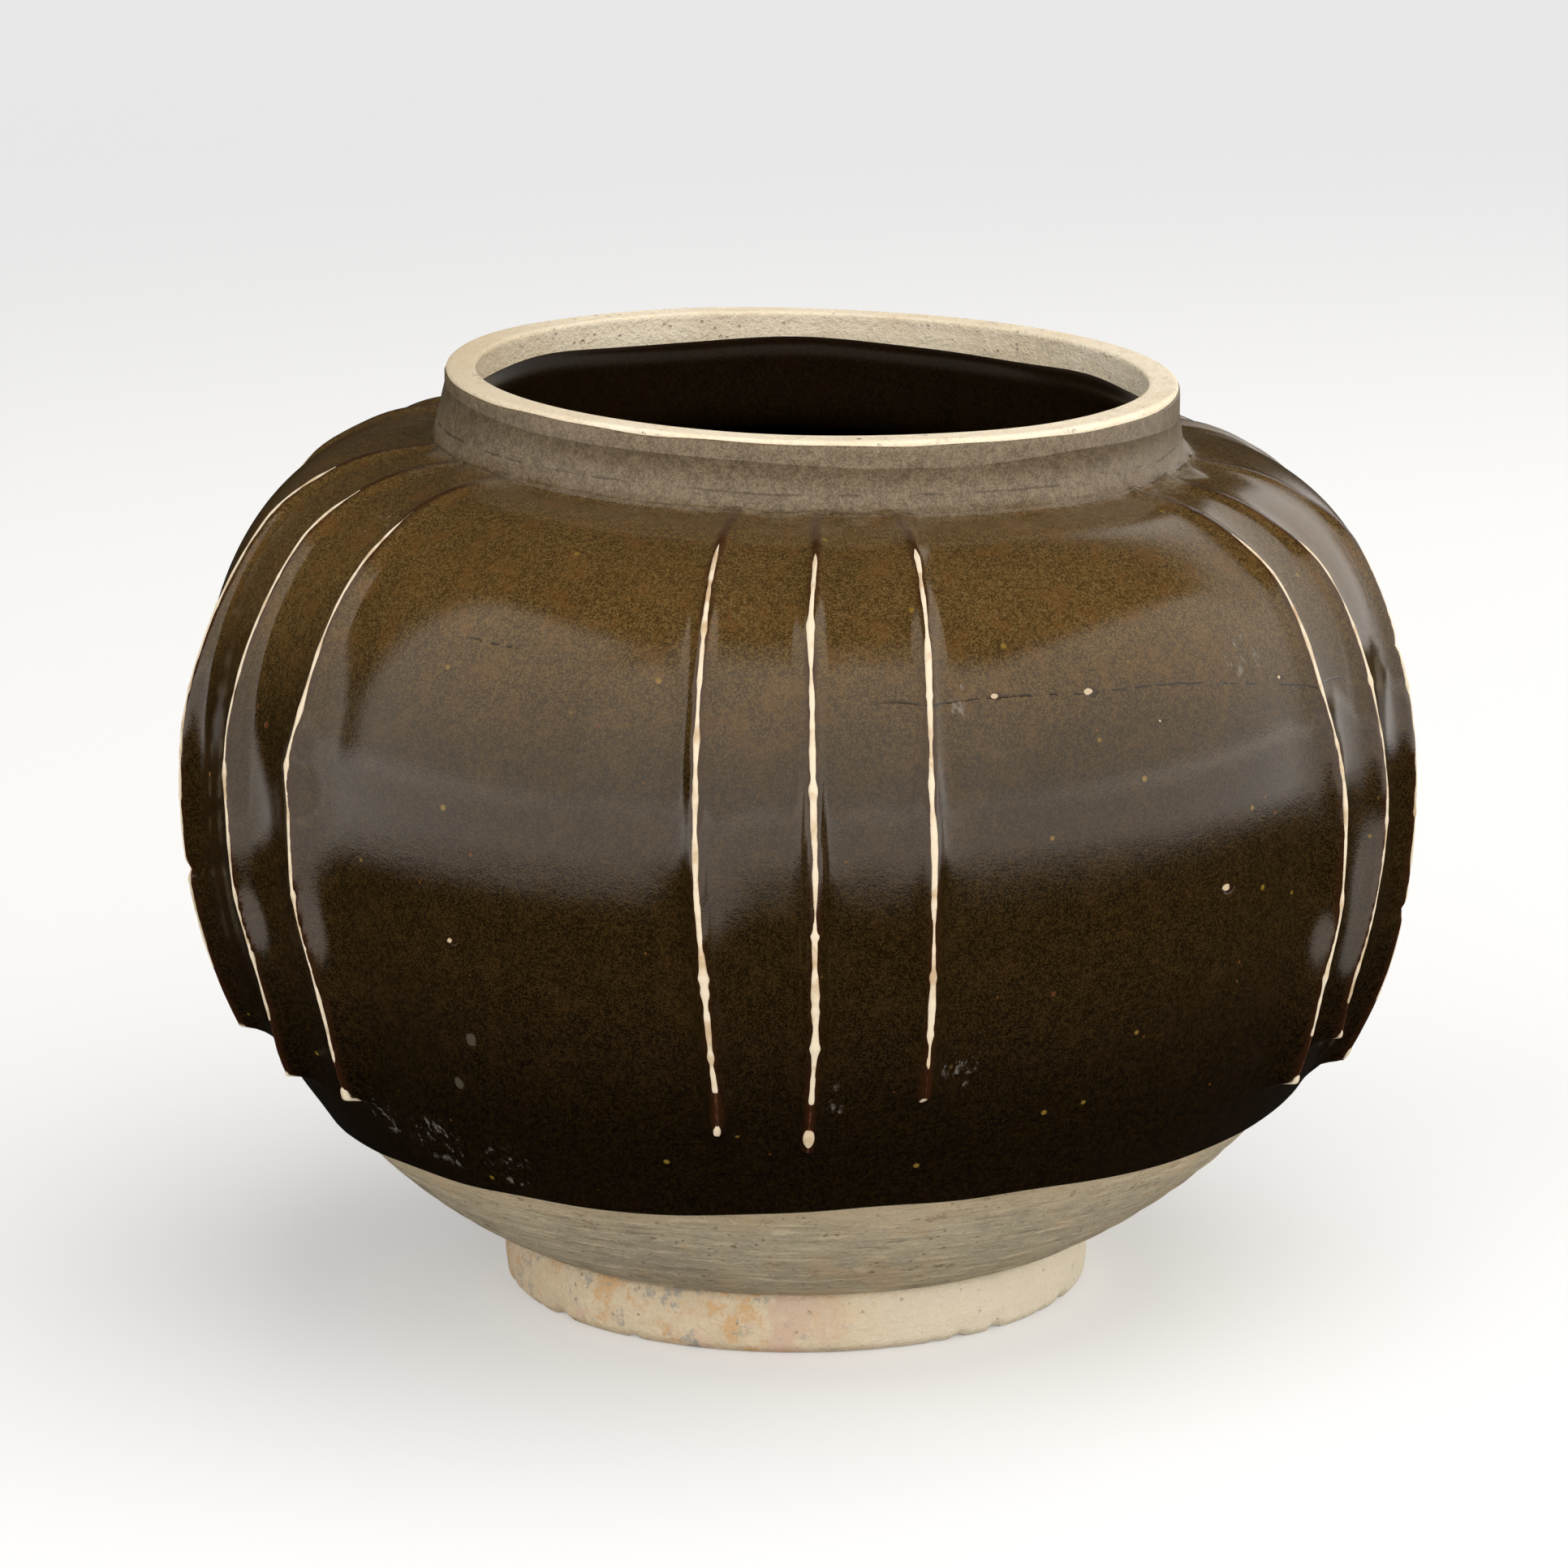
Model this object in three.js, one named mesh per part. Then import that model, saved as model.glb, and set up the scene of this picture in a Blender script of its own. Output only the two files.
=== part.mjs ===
// A ribbed stoneware jar: a thrown body on a turned foot, an upright neck with a bare lip,
// a dark glaze inside and out, and eighteen trailed slip ribs in six groups of three.
// Millimetres, +Z up. The origin is the centre of the foot's underside, and the front faces -Y.

import * as THREE from 'three';

// Heights, each measured from the level that the one before it reaches
const FOOT_HEIGHT = 7.6;
const BOWL_HEIGHT = 63;
const SHOULDER_HEIGHT = 38.4;
const NECK_HEIGHT = 10.7;
const SEAM_ABOVE_BELLY = 22.4;

// Radii of the bare clay, and steps out from them
const FOOT_RADIUS = 37.9;
const FOOT_STEP = 0.5;
const BELLY_RADIUS = 76;
const NECK_RADIUS = 46.4;
const NECK_FLARE = 1.2;
const LIP_FLARE = 0.5;

// Thicknesses and small shapes
const WALL = 4.6;
const NECK_WALL = 3.5;
const FOOT_WALL = 6.9;
const GLAZE = 0.5;
const GLAZE_GAP = 0.5;
const JOINT = 0.3;
const FOOT_EDGE = 1.1;
const FOOT_EDGE_ROUNDING = [0.3, 0.4];
const FOOT_SWELL = 0.25;
const NECK_FLARE_HEIGHT = 2.4;
const LIP_EDGE = 0.8;
const LIP_EDGE_ROUNDING = 0.3;
const LIP_BORE_EDGE = 0.4;
const LIP_FLARE_DEPTH = 0.9;
const BARE_LIP_DEPTH = 1.7;
const BARE_BORE_DEPTH = 3.7;

// Fullness of the curve as [along the height, along the radius]: 2 and 2 is an ellipse
const BOWL_FULLNESS = [2.47, 1.21];
const SHOULDER_FULLNESS = [2.53, 2.32];

// The glaze's wavy lower edge is higher on the jar's right
const GLAZE_LINE_ABOVE_FOOT = 19;
const GLAZE_LINE_RISE = 2.9;
const GLAZE_LINE_WAVE = 0.45;
const GLAZE_LINE_WAVES = 5;

// Ribs: longitudes in degrees from the front towards +X, and how far down the bowl each one
// reaches, as a share of the way from the belly to the foot
const RIB_GROUPS = [
  { middle: -66.2, apart: 13.2, reach: [0.57, 0.58, 0.57] },
  { middle: 1.0, apart: 10.5, reach: [0.51, 0.54, 0.43] },
  { middle: 69.4, apart: 11.4, reach: [0.53, 0.47, 0.60] },
  { middle: 124.7, apart: 10.5, reach: [0.51, 0.47, 0.52] },
  { middle: 181.7, apart: 10.5, reach: [0.55, 0.50, 0.48] },
  { middle: 238.6, apart: 10.5, reach: [0.50, 0.55, 0.56] },
];
const RIB_WIDTH = 5.2;
const RIB_CREST_WIDTH = 0.9;
const RIB_HEIGHT = 3.2;
const RIB_FLANK_WIDTH_SHARE = 0.45;
const RIB_FLANK_HEIGHT_SHARE = 0.5;
const RIB_END_SHARE = 0.6;
const RIB_TOP_SHARE = 0.35;
const RIB_FADE_SHARE = 0.28;
const RIB_FADE_END = 0.62;
const RIB_TOP_CLEARANCE = 1.5;

// The firing left the jar leaning: the rim drops towards +X and has crept that way
const LEAN = 0.026;
const RIM_CREEP = 2.0;
const LEAN_SPAN = 40;
const CREEP_START_SHARE = 0.5;

// Steps of the facets
const TURN_STEPS = 48;
const BOWL_STEPS = 9;
const SHOULDER_STEPS = 5;
const RIB_STEPS = 12;
const GLAZE_FOOT_STEPS = 2;
const COLUMN_ANGLE = THREE.MathUtils.degToRad(6.5);
const TINY_TURN = 0.005;

const COAT = GLAZE_GAP + GLAZE;
const FOOT_BORE_RADIUS = FOOT_RADIUS - FOOT_WALL;
const BODY_BASE_RADIUS = FOOT_RADIUS - FOOT_STEP;
const NECK_BASE_RADIUS = NECK_RADIUS + NECK_FLARE;
const NECK_BORE_RADIUS = NECK_RADIUS - NECK_WALL;
const LIP_RADIUS = NECK_RADIUS + LIP_FLARE;
const BODY_BASE = FOOT_HEIGHT + JOINT;
const FLOOR = BODY_BASE + WALL;
const BELLY_LEVEL = FOOT_HEIGHT + BOWL_HEIGHT;
const SEAM_LEVEL = BELLY_LEVEL + SEAM_ABOVE_BELLY;
const SHOULDER_LEVEL = BELLY_LEVEL + SHOULDER_HEIGHT;
const NECK_BASE = SHOULDER_LEVEL + JOINT;
const LIP_LEVEL = SHOULDER_LEVEL + NECK_HEIGHT;
const SLOT_ANGLE = Math.asin((RIB_WIDTH / 2 + JOINT) / BELLY_RADIUS);

const CLAY = { color: 0xcdbb9b, roughness: 0.85, metalness: 0 };
const SLIP = { color: 0xe2d6bf, roughness: 0.7, metalness: 0 };
const DARK_GLAZE = { color: 0x2a1d10, roughness: 0.18, metalness: 0 };

const jar = new THREE.Group();

const vec = (radius, height) => new THREE.Vector2(radius, height);

function smooth(share) {
  return THREE.MathUtils.smoothstep(share, 0, 1);
}

// The body's outline is two quarter curves that meet at the belly.
// Its turn runs from -90 degrees at the foot, through 0 at the belly, to 90 degrees at the neck.
function outlinePoint(turn) {
  const upper = turn > 0;
  const [tall, wide] = upper ? SHOULDER_FULLNESS : BOWL_FULLNESS;
  const endRadius = upper ? NECK_BASE_RADIUS : BODY_BASE_RADIUS;
  const endHeight = upper ? SHOULDER_LEVEL : BODY_BASE;
  const rise = Math.abs(Math.sin(turn)) ** (2 / tall);
  const reach = Math.max(Math.cos(turn), 0) ** (2 / wide);
  return vec(
    THREE.MathUtils.lerp(endRadius, BELLY_RADIUS, reach),
    THREE.MathUtils.lerp(BELLY_LEVEL, endHeight, rise),
  );
}

function turnAtHeight(height) {
  const upper = height > BELLY_LEVEL;
  const [tall] = upper ? SHOULDER_FULLNESS : BOWL_FULLNESS;
  const endHeight = upper ? SHOULDER_LEVEL : BODY_BASE;
  const rise = (height - BELLY_LEVEL) / (endHeight - BELLY_LEVEL);
  return (upper ? 1 : -1) * Math.asin(Math.min(rise, 1) ** (tall / 2));
}

function shoulderTurnAtRadius(radius) {
  const reach = (radius - NECK_BASE_RADIUS) / (BELLY_RADIUS - NECK_BASE_RADIUS);
  return Math.acos(reach ** (SHOULDER_FULLNESS[1] / 2));
}

class OutlineStretch extends THREE.Curve {
  constructor(fromTurn, toTurn) {
    super();
    this.turn = (share) => THREE.MathUtils.lerp(fromTurn, toTurn, share);
  }

  getPoint(share) {
    return outlinePoint(this.turn(share));
  }
}

// Turns that stand evenly along the outline
function turnsBetween(fromTurn, toTurn, steps) {
  const stretch = new OutlineStretch(fromTurn, toTurn);
  return Array.from({ length: steps + 1 }, (_, i) => stretch.turn(stretch.getUtoTmapping(i / steps)));
}

function outline(fromTurn, toTurn, steps) {
  return turnsBetween(fromTurn, toTurn, steps).map(outlinePoint);
}

// The outline moved square to itself, outwards for a positive distance
function outlineAt(distance, fromTurn, toTurn, steps) {
  return turnsBetween(fromTurn, toTurn, steps).map((turn) => {
    const ahead = outlinePoint(Math.min(turn + TINY_TURN, Math.PI / 2));
    const along = ahead.sub(outlinePoint(Math.max(turn - TINY_TURN, -Math.PI / 2))).normalize();
    return outlinePoint(turn).addScaledVector(vec(along.y, -along.x), distance);
  });
}

// Moves a path sideways: a path that runs upwards moves outwards for a positive distance.
function offsetPath(path, distance) {
  const normals = path.slice(1).map((point, i) => {
    const along = point.clone().sub(path[i]).normalize();
    return vec(along.y, -along.x);
  });
  return path.map((point, i) => {
    const before = normals[Math.max(i - 1, 0)];
    const after = normals[Math.min(i, normals.length - 1)];
    const mitre = before.clone().add(after).normalize();
    return point.clone().addScaledVector(mitre, distance / mitre.dot(after));
  });
}

// Leans and shifts every point as the firing did; the foot stays flat.
function settle(geometry) {
  const position = geometry.getAttribute('position');
  const creepStart = LIP_LEVEL * CREEP_START_SHARE;
  for (let i = 0; i < position.count; i++) {
    const x = position.getX(i);
    const z = position.getZ(i);
    const leaning = smooth((z - BODY_BASE) / LEAN_SPAN);
    const creeping = smooth((z - creepStart) / (LIP_LEVEL - creepStart));
    position.setX(i, x + creeping * RIM_CREEP);
    position.setZ(i, z - leaning * LEAN * x);
  }
  geometry.computeVertexNormals();
  return geometry;
}

function addPiece(name, geometry, look) {
  const piece = new THREE.Mesh(settle(geometry), new THREE.MeshStandardMaterial(look));
  piece.name = name;
  jar.add(piece);
}

// A turned piece: its section goes up the outside and down the inside.
function turned(section) {
  const closed = section[0].x === 0 ? section : [...section, section[0].clone()];
  return new THREE.LatheGeometry(closed, TURN_STEPS).rotateX(Math.PI / 2);
}

// A place on the jar: longitude from the front, radius and height, and a step across the longitude.
function place(longitude, point, across = 0) {
  const sin = Math.sin(longitude);
  const cos = Math.cos(longitude);
  return [point.x * sin + across * cos, across * sin - point.x * cos, point.y];
}

function footRing() {
  const top = FOOT_HEIGHT;
  const middle = FOOT_HEIGHT / 2;
  addPiece('foot_ring', turned([
    vec(FOOT_RADIUS - FOOT_EDGE, 0),
    vec(FOOT_RADIUS - FOOT_EDGE * FOOT_EDGE_ROUNDING[0], FOOT_EDGE * FOOT_EDGE_ROUNDING[1]),
    vec(FOOT_RADIUS, FOOT_EDGE),
    vec(FOOT_RADIUS + FOOT_SWELL, middle),
    vec(FOOT_RADIUS, top - FOOT_EDGE / 2),
    vec(FOOT_RADIUS - FOOT_EDGE / 2, top),
    vec(FOOT_BORE_RADIUS, top),
    vec(FOOT_BORE_RADIUS, FOOT_EDGE),
    vec(FOOT_BORE_RADIUS + FOOT_EDGE, 0),
  ]), CLAY);
}

const SEAM_TURN_BELOW = turnAtHeight(SEAM_LEVEL - JOINT / 2);
const SEAM_TURN_ABOVE = turnAtHeight(SEAM_LEVEL + JOINT / 2);

// The thrown bowl, with its floor, up to the luting seam on the shoulder
function lowerBody() {
  const outside = outline(-Math.PI / 2, SEAM_TURN_BELOW, BOWL_STEPS);
  const inside = outlineAt(-WALL, -Math.PI / 2, SEAM_TURN_BELOW, BOWL_STEPS).reverse();
  addPiece('lower_body', turned([vec(0, BODY_BASE), ...outside, ...inside, vec(0, FLOOR)]), CLAY);
}

// The upper ring that closes the body in to the neck
function shoulder() {
  const outside = outline(SEAM_TURN_ABOVE, Math.PI / 2, SHOULDER_STEPS);
  const inside = outlineAt(-WALL, SEAM_TURN_ABOVE, Math.PI / 2, SHOULDER_STEPS).reverse();
  const ceiling = SHOULDER_LEVEL - WALL;
  const bore = [vec(NECK_BORE_RADIUS, SHOULDER_LEVEL), vec(NECK_BORE_RADIUS, ceiling)];
  addPiece('shoulder', turned([...outside, ...bore, ...inside]), CLAY);
}

function neckCollar() {
  const flareTop = LIP_LEVEL - LIP_EDGE;
  addPiece('neck_collar', turned([
    vec(NECK_BASE_RADIUS, NECK_BASE),
    vec(NECK_RADIUS, SHOULDER_LEVEL + NECK_FLARE_HEIGHT),
    vec(NECK_RADIUS, flareTop - LIP_FLARE_DEPTH / 2),
    vec(LIP_RADIUS, flareTop),
    vec(LIP_RADIUS - LIP_EDGE * LIP_EDGE_ROUNDING, LIP_LEVEL - LIP_EDGE * LIP_EDGE_ROUNDING),
    vec(LIP_RADIUS - LIP_EDGE, LIP_LEVEL),
    vec(NECK_BORE_RADIUS + LIP_BORE_EDGE, LIP_LEVEL),
    vec(NECK_BORE_RADIUS, LIP_LEVEL - LIP_BORE_EDGE),
    vec(NECK_BORE_RADIUS, NECK_BASE),
  ]), CLAY);
}

// The coat inside, from the bare band below the lip down to the floor
function innerGlaze() {
  const clay = [
    vec(0, FLOOR),
    ...outlineAt(-WALL, -Math.PI / 2, SEAM_TURN_BELOW, BOWL_STEPS),
    ...outlineAt(-WALL, SEAM_TURN_ABOVE, Math.PI / 2, SHOULDER_STEPS),
    vec(NECK_BORE_RADIUS, SHOULDER_LEVEL - WALL),
    vec(NECK_BORE_RADIUS, LIP_LEVEL - BARE_BORE_DEPTH),
  ];
  const back = offsetPath(clay, -GLAZE_GAP);
  const front = offsetPath(clay, -COAT).reverse();
  addPiece('inner_glaze', turned([...back, ...front]), DARK_GLAZE);
}

const RIBS = RIB_GROUPS.flatMap(({ middle, apart, reach }) => reach.map((share, i) => ({
  longitude: THREE.MathUtils.degToRad(middle + (i - (reach.length - 1) / 2) * apart),
  end: BELLY_LEVEL - share * BOWL_HEIGHT,
})));
const SLOT_TOP_TURN = shoulderTurnAtRadius(NECK_BASE_RADIUS + RIB_TOP_CLEARANCE);

// The outer coat's columns: two stand at each rib's slot, and the others fill the space between.
function coatColumns() {
  return RIBS.flatMap((rib, i) => {
    const next = RIBS[(i + 1) % RIBS.length];
    const apart = THREE.MathUtils.euclideanModulo(next.longitude - rib.longitude, 2 * Math.PI);
    const gap = apart - 2 * SLOT_ANGLE;
    const steps = Math.ceil(gap / COLUMN_ANGLE);
    const between = Array.from({ length: steps }, (_, k) => ({
      longitude: rib.longitude + SLOT_ANGLE + gap * k / steps,
      end: THREE.MathUtils.lerp(rib.end, next.end, k / steps),
      slot: false,
    }));
    return [{ longitude: rib.longitude - SLOT_ANGLE, end: rib.end, slot: true }, ...between];
  });
}

function glazeLineHeight(longitude) {
  const rise = GLAZE_LINE_RISE * Math.sin(longitude);
  const wave = GLAZE_LINE_WAVE * Math.sin(GLAZE_LINE_WAVES * longitude);
  return FOOT_HEIGHT + GLAZE_LINE_ABOVE_FOOT + rise + wave;
}

// Up the clay from the glaze line, past the rib ends and the neck's foot, to below the lip
function coatPath({ longitude, end }) {
  const glazeLine = turnAtHeight(glazeLineHeight(longitude));
  return [
    ...outline(glazeLine, turnAtHeight(end), GLAZE_FOOT_STEPS).slice(0, -1),
    ...outline(turnAtHeight(end), SLOT_TOP_TURN, RIB_STEPS),
    vec(NECK_BASE_RADIUS, SHOULDER_LEVEL),
    vec(NECK_RADIUS, SHOULDER_LEVEL + NECK_FLARE_HEIGHT),
    vec(NECK_RADIUS, LIP_LEVEL - BARE_LIP_DEPTH),
  ];
}

// Joins two sheets of columns into one closed shell, with a wall around each cell left open.
function shell(front, back, isOpen) {
  const columns = front.length;
  const rows = front[0].length;
  const corners = [...front.flat(), ...back.flat()];
  const faces = [];
  const at = (i, j, behind) => (behind ? columns * rows : 0) + (i % columns) * rows + j;
  const quad = (a, b, c, d) => faces.push(a, b, c, a, c, d);
  const filled = (i, j) => j >= 0 && j < rows - 1 && !isOpen((i + columns) % columns, j);
  for (let i = 0; i < columns; i++) {
    for (let j = 0; j < rows - 1; j++) {
      if (!filled(i, j)) continue;
      quad(at(i, j), at(i + 1, j), at(i + 1, j + 1), at(i, j + 1));
      quad(at(i, j, true), at(i, j + 1, true), at(i + 1, j + 1, true), at(i + 1, j, true));
      if (!filled(i, j - 1)) quad(at(i + 1, j), at(i, j), at(i, j, true), at(i + 1, j, true));
      if (!filled(i, j + 1)) quad(at(i, j + 1), at(i + 1, j + 1), at(i + 1, j + 1, true), at(i, j + 1, true));
      if (!filled(i - 1, j)) quad(at(i, j), at(i, j + 1), at(i, j + 1, true), at(i, j, true));
      if (!filled(i + 1, j)) quad(at(i + 1, j + 1), at(i + 1, j), at(i + 1, j, true), at(i + 1, j + 1, true));
    }
  }
  const geometry = new THREE.BufferGeometry();
  geometry.setAttribute('position', new THREE.Float32BufferAttribute(corners.flat(), 3));
  geometry.setIndex(faces);
  return geometry;
}

// The coat outside, with a slot for each rib
function outerGlaze() {
  const columns = coatColumns();
  const sheet = (distance) => columns.map((column) => (
    offsetPath(coatPath(column), distance).map((point) => place(column.longitude, point))
  ));
  const isSlot = (i, j) => columns[i].slot && j >= GLAZE_FOOT_STEPS && j < GLAZE_FOOT_STEPS + RIB_STEPS;
  addPiece('outer_glaze', shell(sheet(COAT), sheet(GLAZE_GAP), isSlot), DARK_GLAZE);
}

// The rib's height along its length: a blunt lower end, a full crest up to the belly, and lower above
function ribHeight(share) {
  const rising = THREE.MathUtils.lerp(RIB_END_SHARE, 1, Math.min(share * RIB_STEPS, 1));
  const fading = smooth((RIB_FADE_END - share) / RIB_FADE_SHARE);
  return RIB_HEIGHT * rising * THREE.MathUtils.lerp(RIB_TOP_SHARE, 1, fading);
}

// Joins rings of points into one closed bar, with a flat face at each end.
function bar(rings) {
  const size = rings[0].length;
  const faces = [];
  for (let j = 0; j < rings.length - 1; j++) {
    for (let k = 0; k < size; k++) {
      const a = j * size + k;
      const b = j * size + (k + 1) % size;
      faces.push(a, b, b + size, a, b + size, a + size);
    }
  }
  const last = (rings.length - 1) * size;
  for (let k = 1; k < size - 1; k++) {
    faces.push(0, k + 1, k, last, last + k, last + k + 1);
  }
  const geometry = new THREE.BufferGeometry();
  geometry.setAttribute('position', new THREE.Float32BufferAttribute(rings.flat(2), 3));
  geometry.setIndex(faces);
  return geometry;
}

// A trailed rib: hollow flanks up to a narrow crest, seated on the clay through the coat's slot
function rib({ longitude, end }, number) {
  const top = shoulderTurnAtRadius(NECK_BASE_RADIUS + RIB_TOP_CLEARANCE + JOINT);
  const bottom = turnAtHeight(end + JOINT);
  const seat = outline(bottom, top, RIB_STEPS);
  const outward = outlineAt(1, bottom, top, RIB_STEPS);
  const rings = seat.map((point, j) => {
    const halfBase = point.x * Math.sin(SLOT_ANGLE) - JOINT;
    const halfCrest = RIB_CREST_WIDTH / 2;
    const halfFlank = THREE.MathUtils.lerp(halfCrest, halfBase, RIB_FLANK_WIDTH_SHARE);
    const crest = COAT + ribHeight(j / RIB_STEPS);
    const flank = crest * RIB_FLANK_HEIGHT_SHARE;
    const corner = (height, across) => place(longitude, point.clone().lerp(outward[j], height), across);
    return [
      corner(flank, -halfFlank), corner(crest, -halfCrest), corner(crest, halfCrest),
      corner(flank, halfFlank), corner(GLAZE_GAP, halfBase), corner(GLAZE_GAP, -halfBase),
    ];
  });
  addPiece(`rib_${String(number + 1).padStart(2, '0')}`, bar(rings), SLIP);
}

footRing();
lowerBody();
shoulder();
neckCollar();
innerGlaze();
outerGlaze();
RIBS.forEach(rib);

export default jar;
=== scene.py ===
import math

import bpy
import numpy as np
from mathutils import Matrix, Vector


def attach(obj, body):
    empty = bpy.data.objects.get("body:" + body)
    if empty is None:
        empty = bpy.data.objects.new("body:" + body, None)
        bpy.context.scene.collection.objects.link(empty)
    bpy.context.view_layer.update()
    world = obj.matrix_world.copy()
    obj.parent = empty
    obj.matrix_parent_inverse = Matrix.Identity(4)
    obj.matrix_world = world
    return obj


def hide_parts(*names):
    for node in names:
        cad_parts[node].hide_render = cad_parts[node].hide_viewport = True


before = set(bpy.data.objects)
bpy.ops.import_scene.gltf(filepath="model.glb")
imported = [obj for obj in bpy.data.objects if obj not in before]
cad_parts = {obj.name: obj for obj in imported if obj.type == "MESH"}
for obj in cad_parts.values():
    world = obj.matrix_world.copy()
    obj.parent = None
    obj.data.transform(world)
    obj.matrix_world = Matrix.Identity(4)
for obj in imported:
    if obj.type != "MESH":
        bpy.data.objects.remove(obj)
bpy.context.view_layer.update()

# Sizes of the jar in millimetres, the same as its solids have
MM = 0.001
FOOT_HEIGHT = 7.6
FOOT_RADIUS = 37.9
FOOT_WALL = 6.9
FOOT_STEP = 0.5
FOOT_EDGE = 1.1
FOOT_SWELL = 0.25
JOINT = 0.3
BODY_BASE = FOOT_HEIGHT + JOINT
BELLY_LEVEL = FOOT_HEIGHT + 63
SEAM_LEVEL = BELLY_LEVEL + 22.4
SHOULDER_LEVEL = BELLY_LEVEL + 38.4
LIP_LEVEL = SHOULDER_LEVEL + 10.7
BELLY_RADIUS = 76
NECK_RADIUS = 46.4
NECK_BASE_RADIUS = NECK_RADIUS + 1.2
NECK_BORE_RADIUS = NECK_RADIUS - 3.5
LIP_RADIUS = NECK_RADIUS + 0.5
BODY_BASE_RADIUS = FOOT_RADIUS - FOOT_STEP
WALL = 4.6
COAT = 1.0
BOWL_FULLNESS = (2.47, 1.21)
SHOULDER_FULLNESS = (2.53, 2.32)
GLAZE_TOP_DEPTH = 0.4
BARE_BORE_DEPTH = 3.7

# The lean and creep left by the firing
LEAN = 0.026
RIM_CREEP = 2.0
LEAN_SPAN = 40
CREEP_START = LIP_LEVEL * 0.5

# Tracks of ribs that don't show: stray in degrees, levels, and steps of rounding
TRACK_STRAY = 1.1
TRACK_LEVELS = (108, 36, 7)
TRACK_ROUNDING = 22

# Rib groups: middle longitude and spacing in degrees, and each rib's reach down the bowl as a share
RIB_GROUPS = [
    (-66.2, 13.2, [0.57, 0.58, 0.57]),
    (1.0, 10.5, [0.51, 0.54, 0.43]),
    (69.4, 11.4, [0.53, 0.47, 0.60]),
    (124.7, 10.5, [0.51, 0.47, 0.52]),
    (181.7, 10.5, [0.55, 0.50, 0.48]),
    (238.6, 10.5, [0.50, 0.55, 0.56]),
]

# Tracks of ribs that show, by number: level and longitude down each one
SEEN_TRACKS = {
    1: [(107, -79.2), (98, -77.4), (86, -77), (74, -78.3), (60, -79.4), (38, -80)],
    2: [(106.4, -66.1), (99, -64.9), (88, -64.5), (77, -64), (67, -62.4), (58, -62), (51, -60), (44, -60.2),
        (37.5, -62.8)],
    3: [(106.4, -52.9), (103, -51.9), (95.6, -52.3), (84.4, -51.9), (79, -52.6), (76.2, -53), (74, -51.6),
        (64, -51.2), (59.6, -50.8), (52.6, -49.4), (45.8, -49.2), (37.5, -50.6)],
    4: [(107, -11), (100.9, -10.4), (93.4, -10), (79, -9.2), (71.9, -8.9), (60.9, -8.1), (51.8, -7.7),
        (43.2, -7.2), (40.6, -7.6)],
    5: [(106.8, 0.4), (100.9, -0.1), (93, 0.4), (82, 0.9), (72.5, 1.4), (52.9, 1.6), (42.5, 1.1), (39.2, 1)],
    6: [(107, 12.1), (103.4, 11.5), (93, 11.2), (82.5, 11.2), (76.1, 11.6), (61.3, 11.8), (45.3, 11.6)],
    7: [(107, 55.8), (94, 56.2), (89, 56), (80, 57.3), (74, 57.8), (60.4, 58.1), (54, 56.6), (48, 56.6),
        (41.5, 57.5)],
    8: [(103.8, 65.8), (98, 66.4), (84, 66.2), (71.4, 67.2), (66, 66.9), (56.6, 65), (49.3, 62.9), (44, 65)],
    9: [(106, 82.4), (100.7, 81.7), (96.9, 79.9), (88, 78), (78, 78.6), (66, 79.6), (38, 80.2)],
}

# Beads on those ribs' white lines: level and added half width
SEEN_BEADS = {
    3: [(77.5, 0.25), (62, 0.15)],
    4: [(99.3, 0.12), (60.4, 0.26), (58.6, 0.2), (50.8, 0.22)],
    5: [(100.3, 0.14), (83, 0.18), (66, 0.26), (57, 0.12), (52.4, 0.22)],
    6: [(107.2, 0.1), (93.2, 0.1), (61, 0.14), (54, 0.12)],
}

# Their drops as level and half width, and the level where each line starts
SEEN_DROPS = {1: (36.5, 0.4), 2: (36.0, 0.5), 3: (37.0, 0.85), 4: (41.3, 0.46), 5: (40.9, 0.7),
              6: (45.2, 0.46), 7: (39.6, 0.6), 8: (43.6, 0.45), 9: (36.0, 0.5)}
SEEN_STARTS = {1: 106.4, 2: 106.2, 3: 106.2, 4: 107.6, 5: 107.2, 6: 107.6, 7: 105.6, 8: 103.6, 9: 100}

# Nicks in the crests: level, and depth as a share of the rib's height
SEEN_NICKS = {1: [(56.3, 0.16)], 9: [(88.6, 0.18), (54.8, 0.13)]}
NICK_LENGTH = 0.8

# A rib's section: broad hollow flanks with a narrow ridge on them, and how hollow each is
RIB_RELIEF = 2.25
RIB_FLANK = 6.7
FLANK_HOLLOW = 2.4
RIB_RIDGE = 0.95
RIDGE_HALF = 1.9
RIDGE_HOLLOW = 1.5
RIB_CREST_HALF = 0.4

# Along a rib: how flanks and ridge fade towards the neck, and where they stop
RIB_TOP_SHARE = 0.2
RIB_FADE_LEVEL = 97
RIB_FADE_RUN = 27
RIDGE_TOP_SHARE = 0.3
RIDGE_FADE_LEVEL = 106
RIDGE_FADE_RUN = 9
RIB_STOP_PAST = 2.6
RIB_STOP_RUN = 3.2
RIB_END_RUN = 4.4
RIB_END_ABOVE = 0.6
RIB_SWAY = 0.015
SWAY_LENGTH = 6.3

# Where the glaze is thin: beside a crest, with stops at its end and the neck
THIN_RUN = 0.4
THIN_END = 0.3
THIN_NECK_GAP = 1
THIN_NECK_RUN = 2

# The glaze's wavy lower edge
GLAZE_LINE_LEVEL = FOOT_HEIGHT + 19
GLAZE_LINE_RISE = 2.9
GLAZE_LINE_WAVE = 0.45
GLAZE_LINE_WAVES = 5


def smooth(share):
    """An S-shaped ramp from 0 to 1."""
    share = np.clip(share, 0, 1)
    return share * share * (3 - 2 * share)


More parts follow.
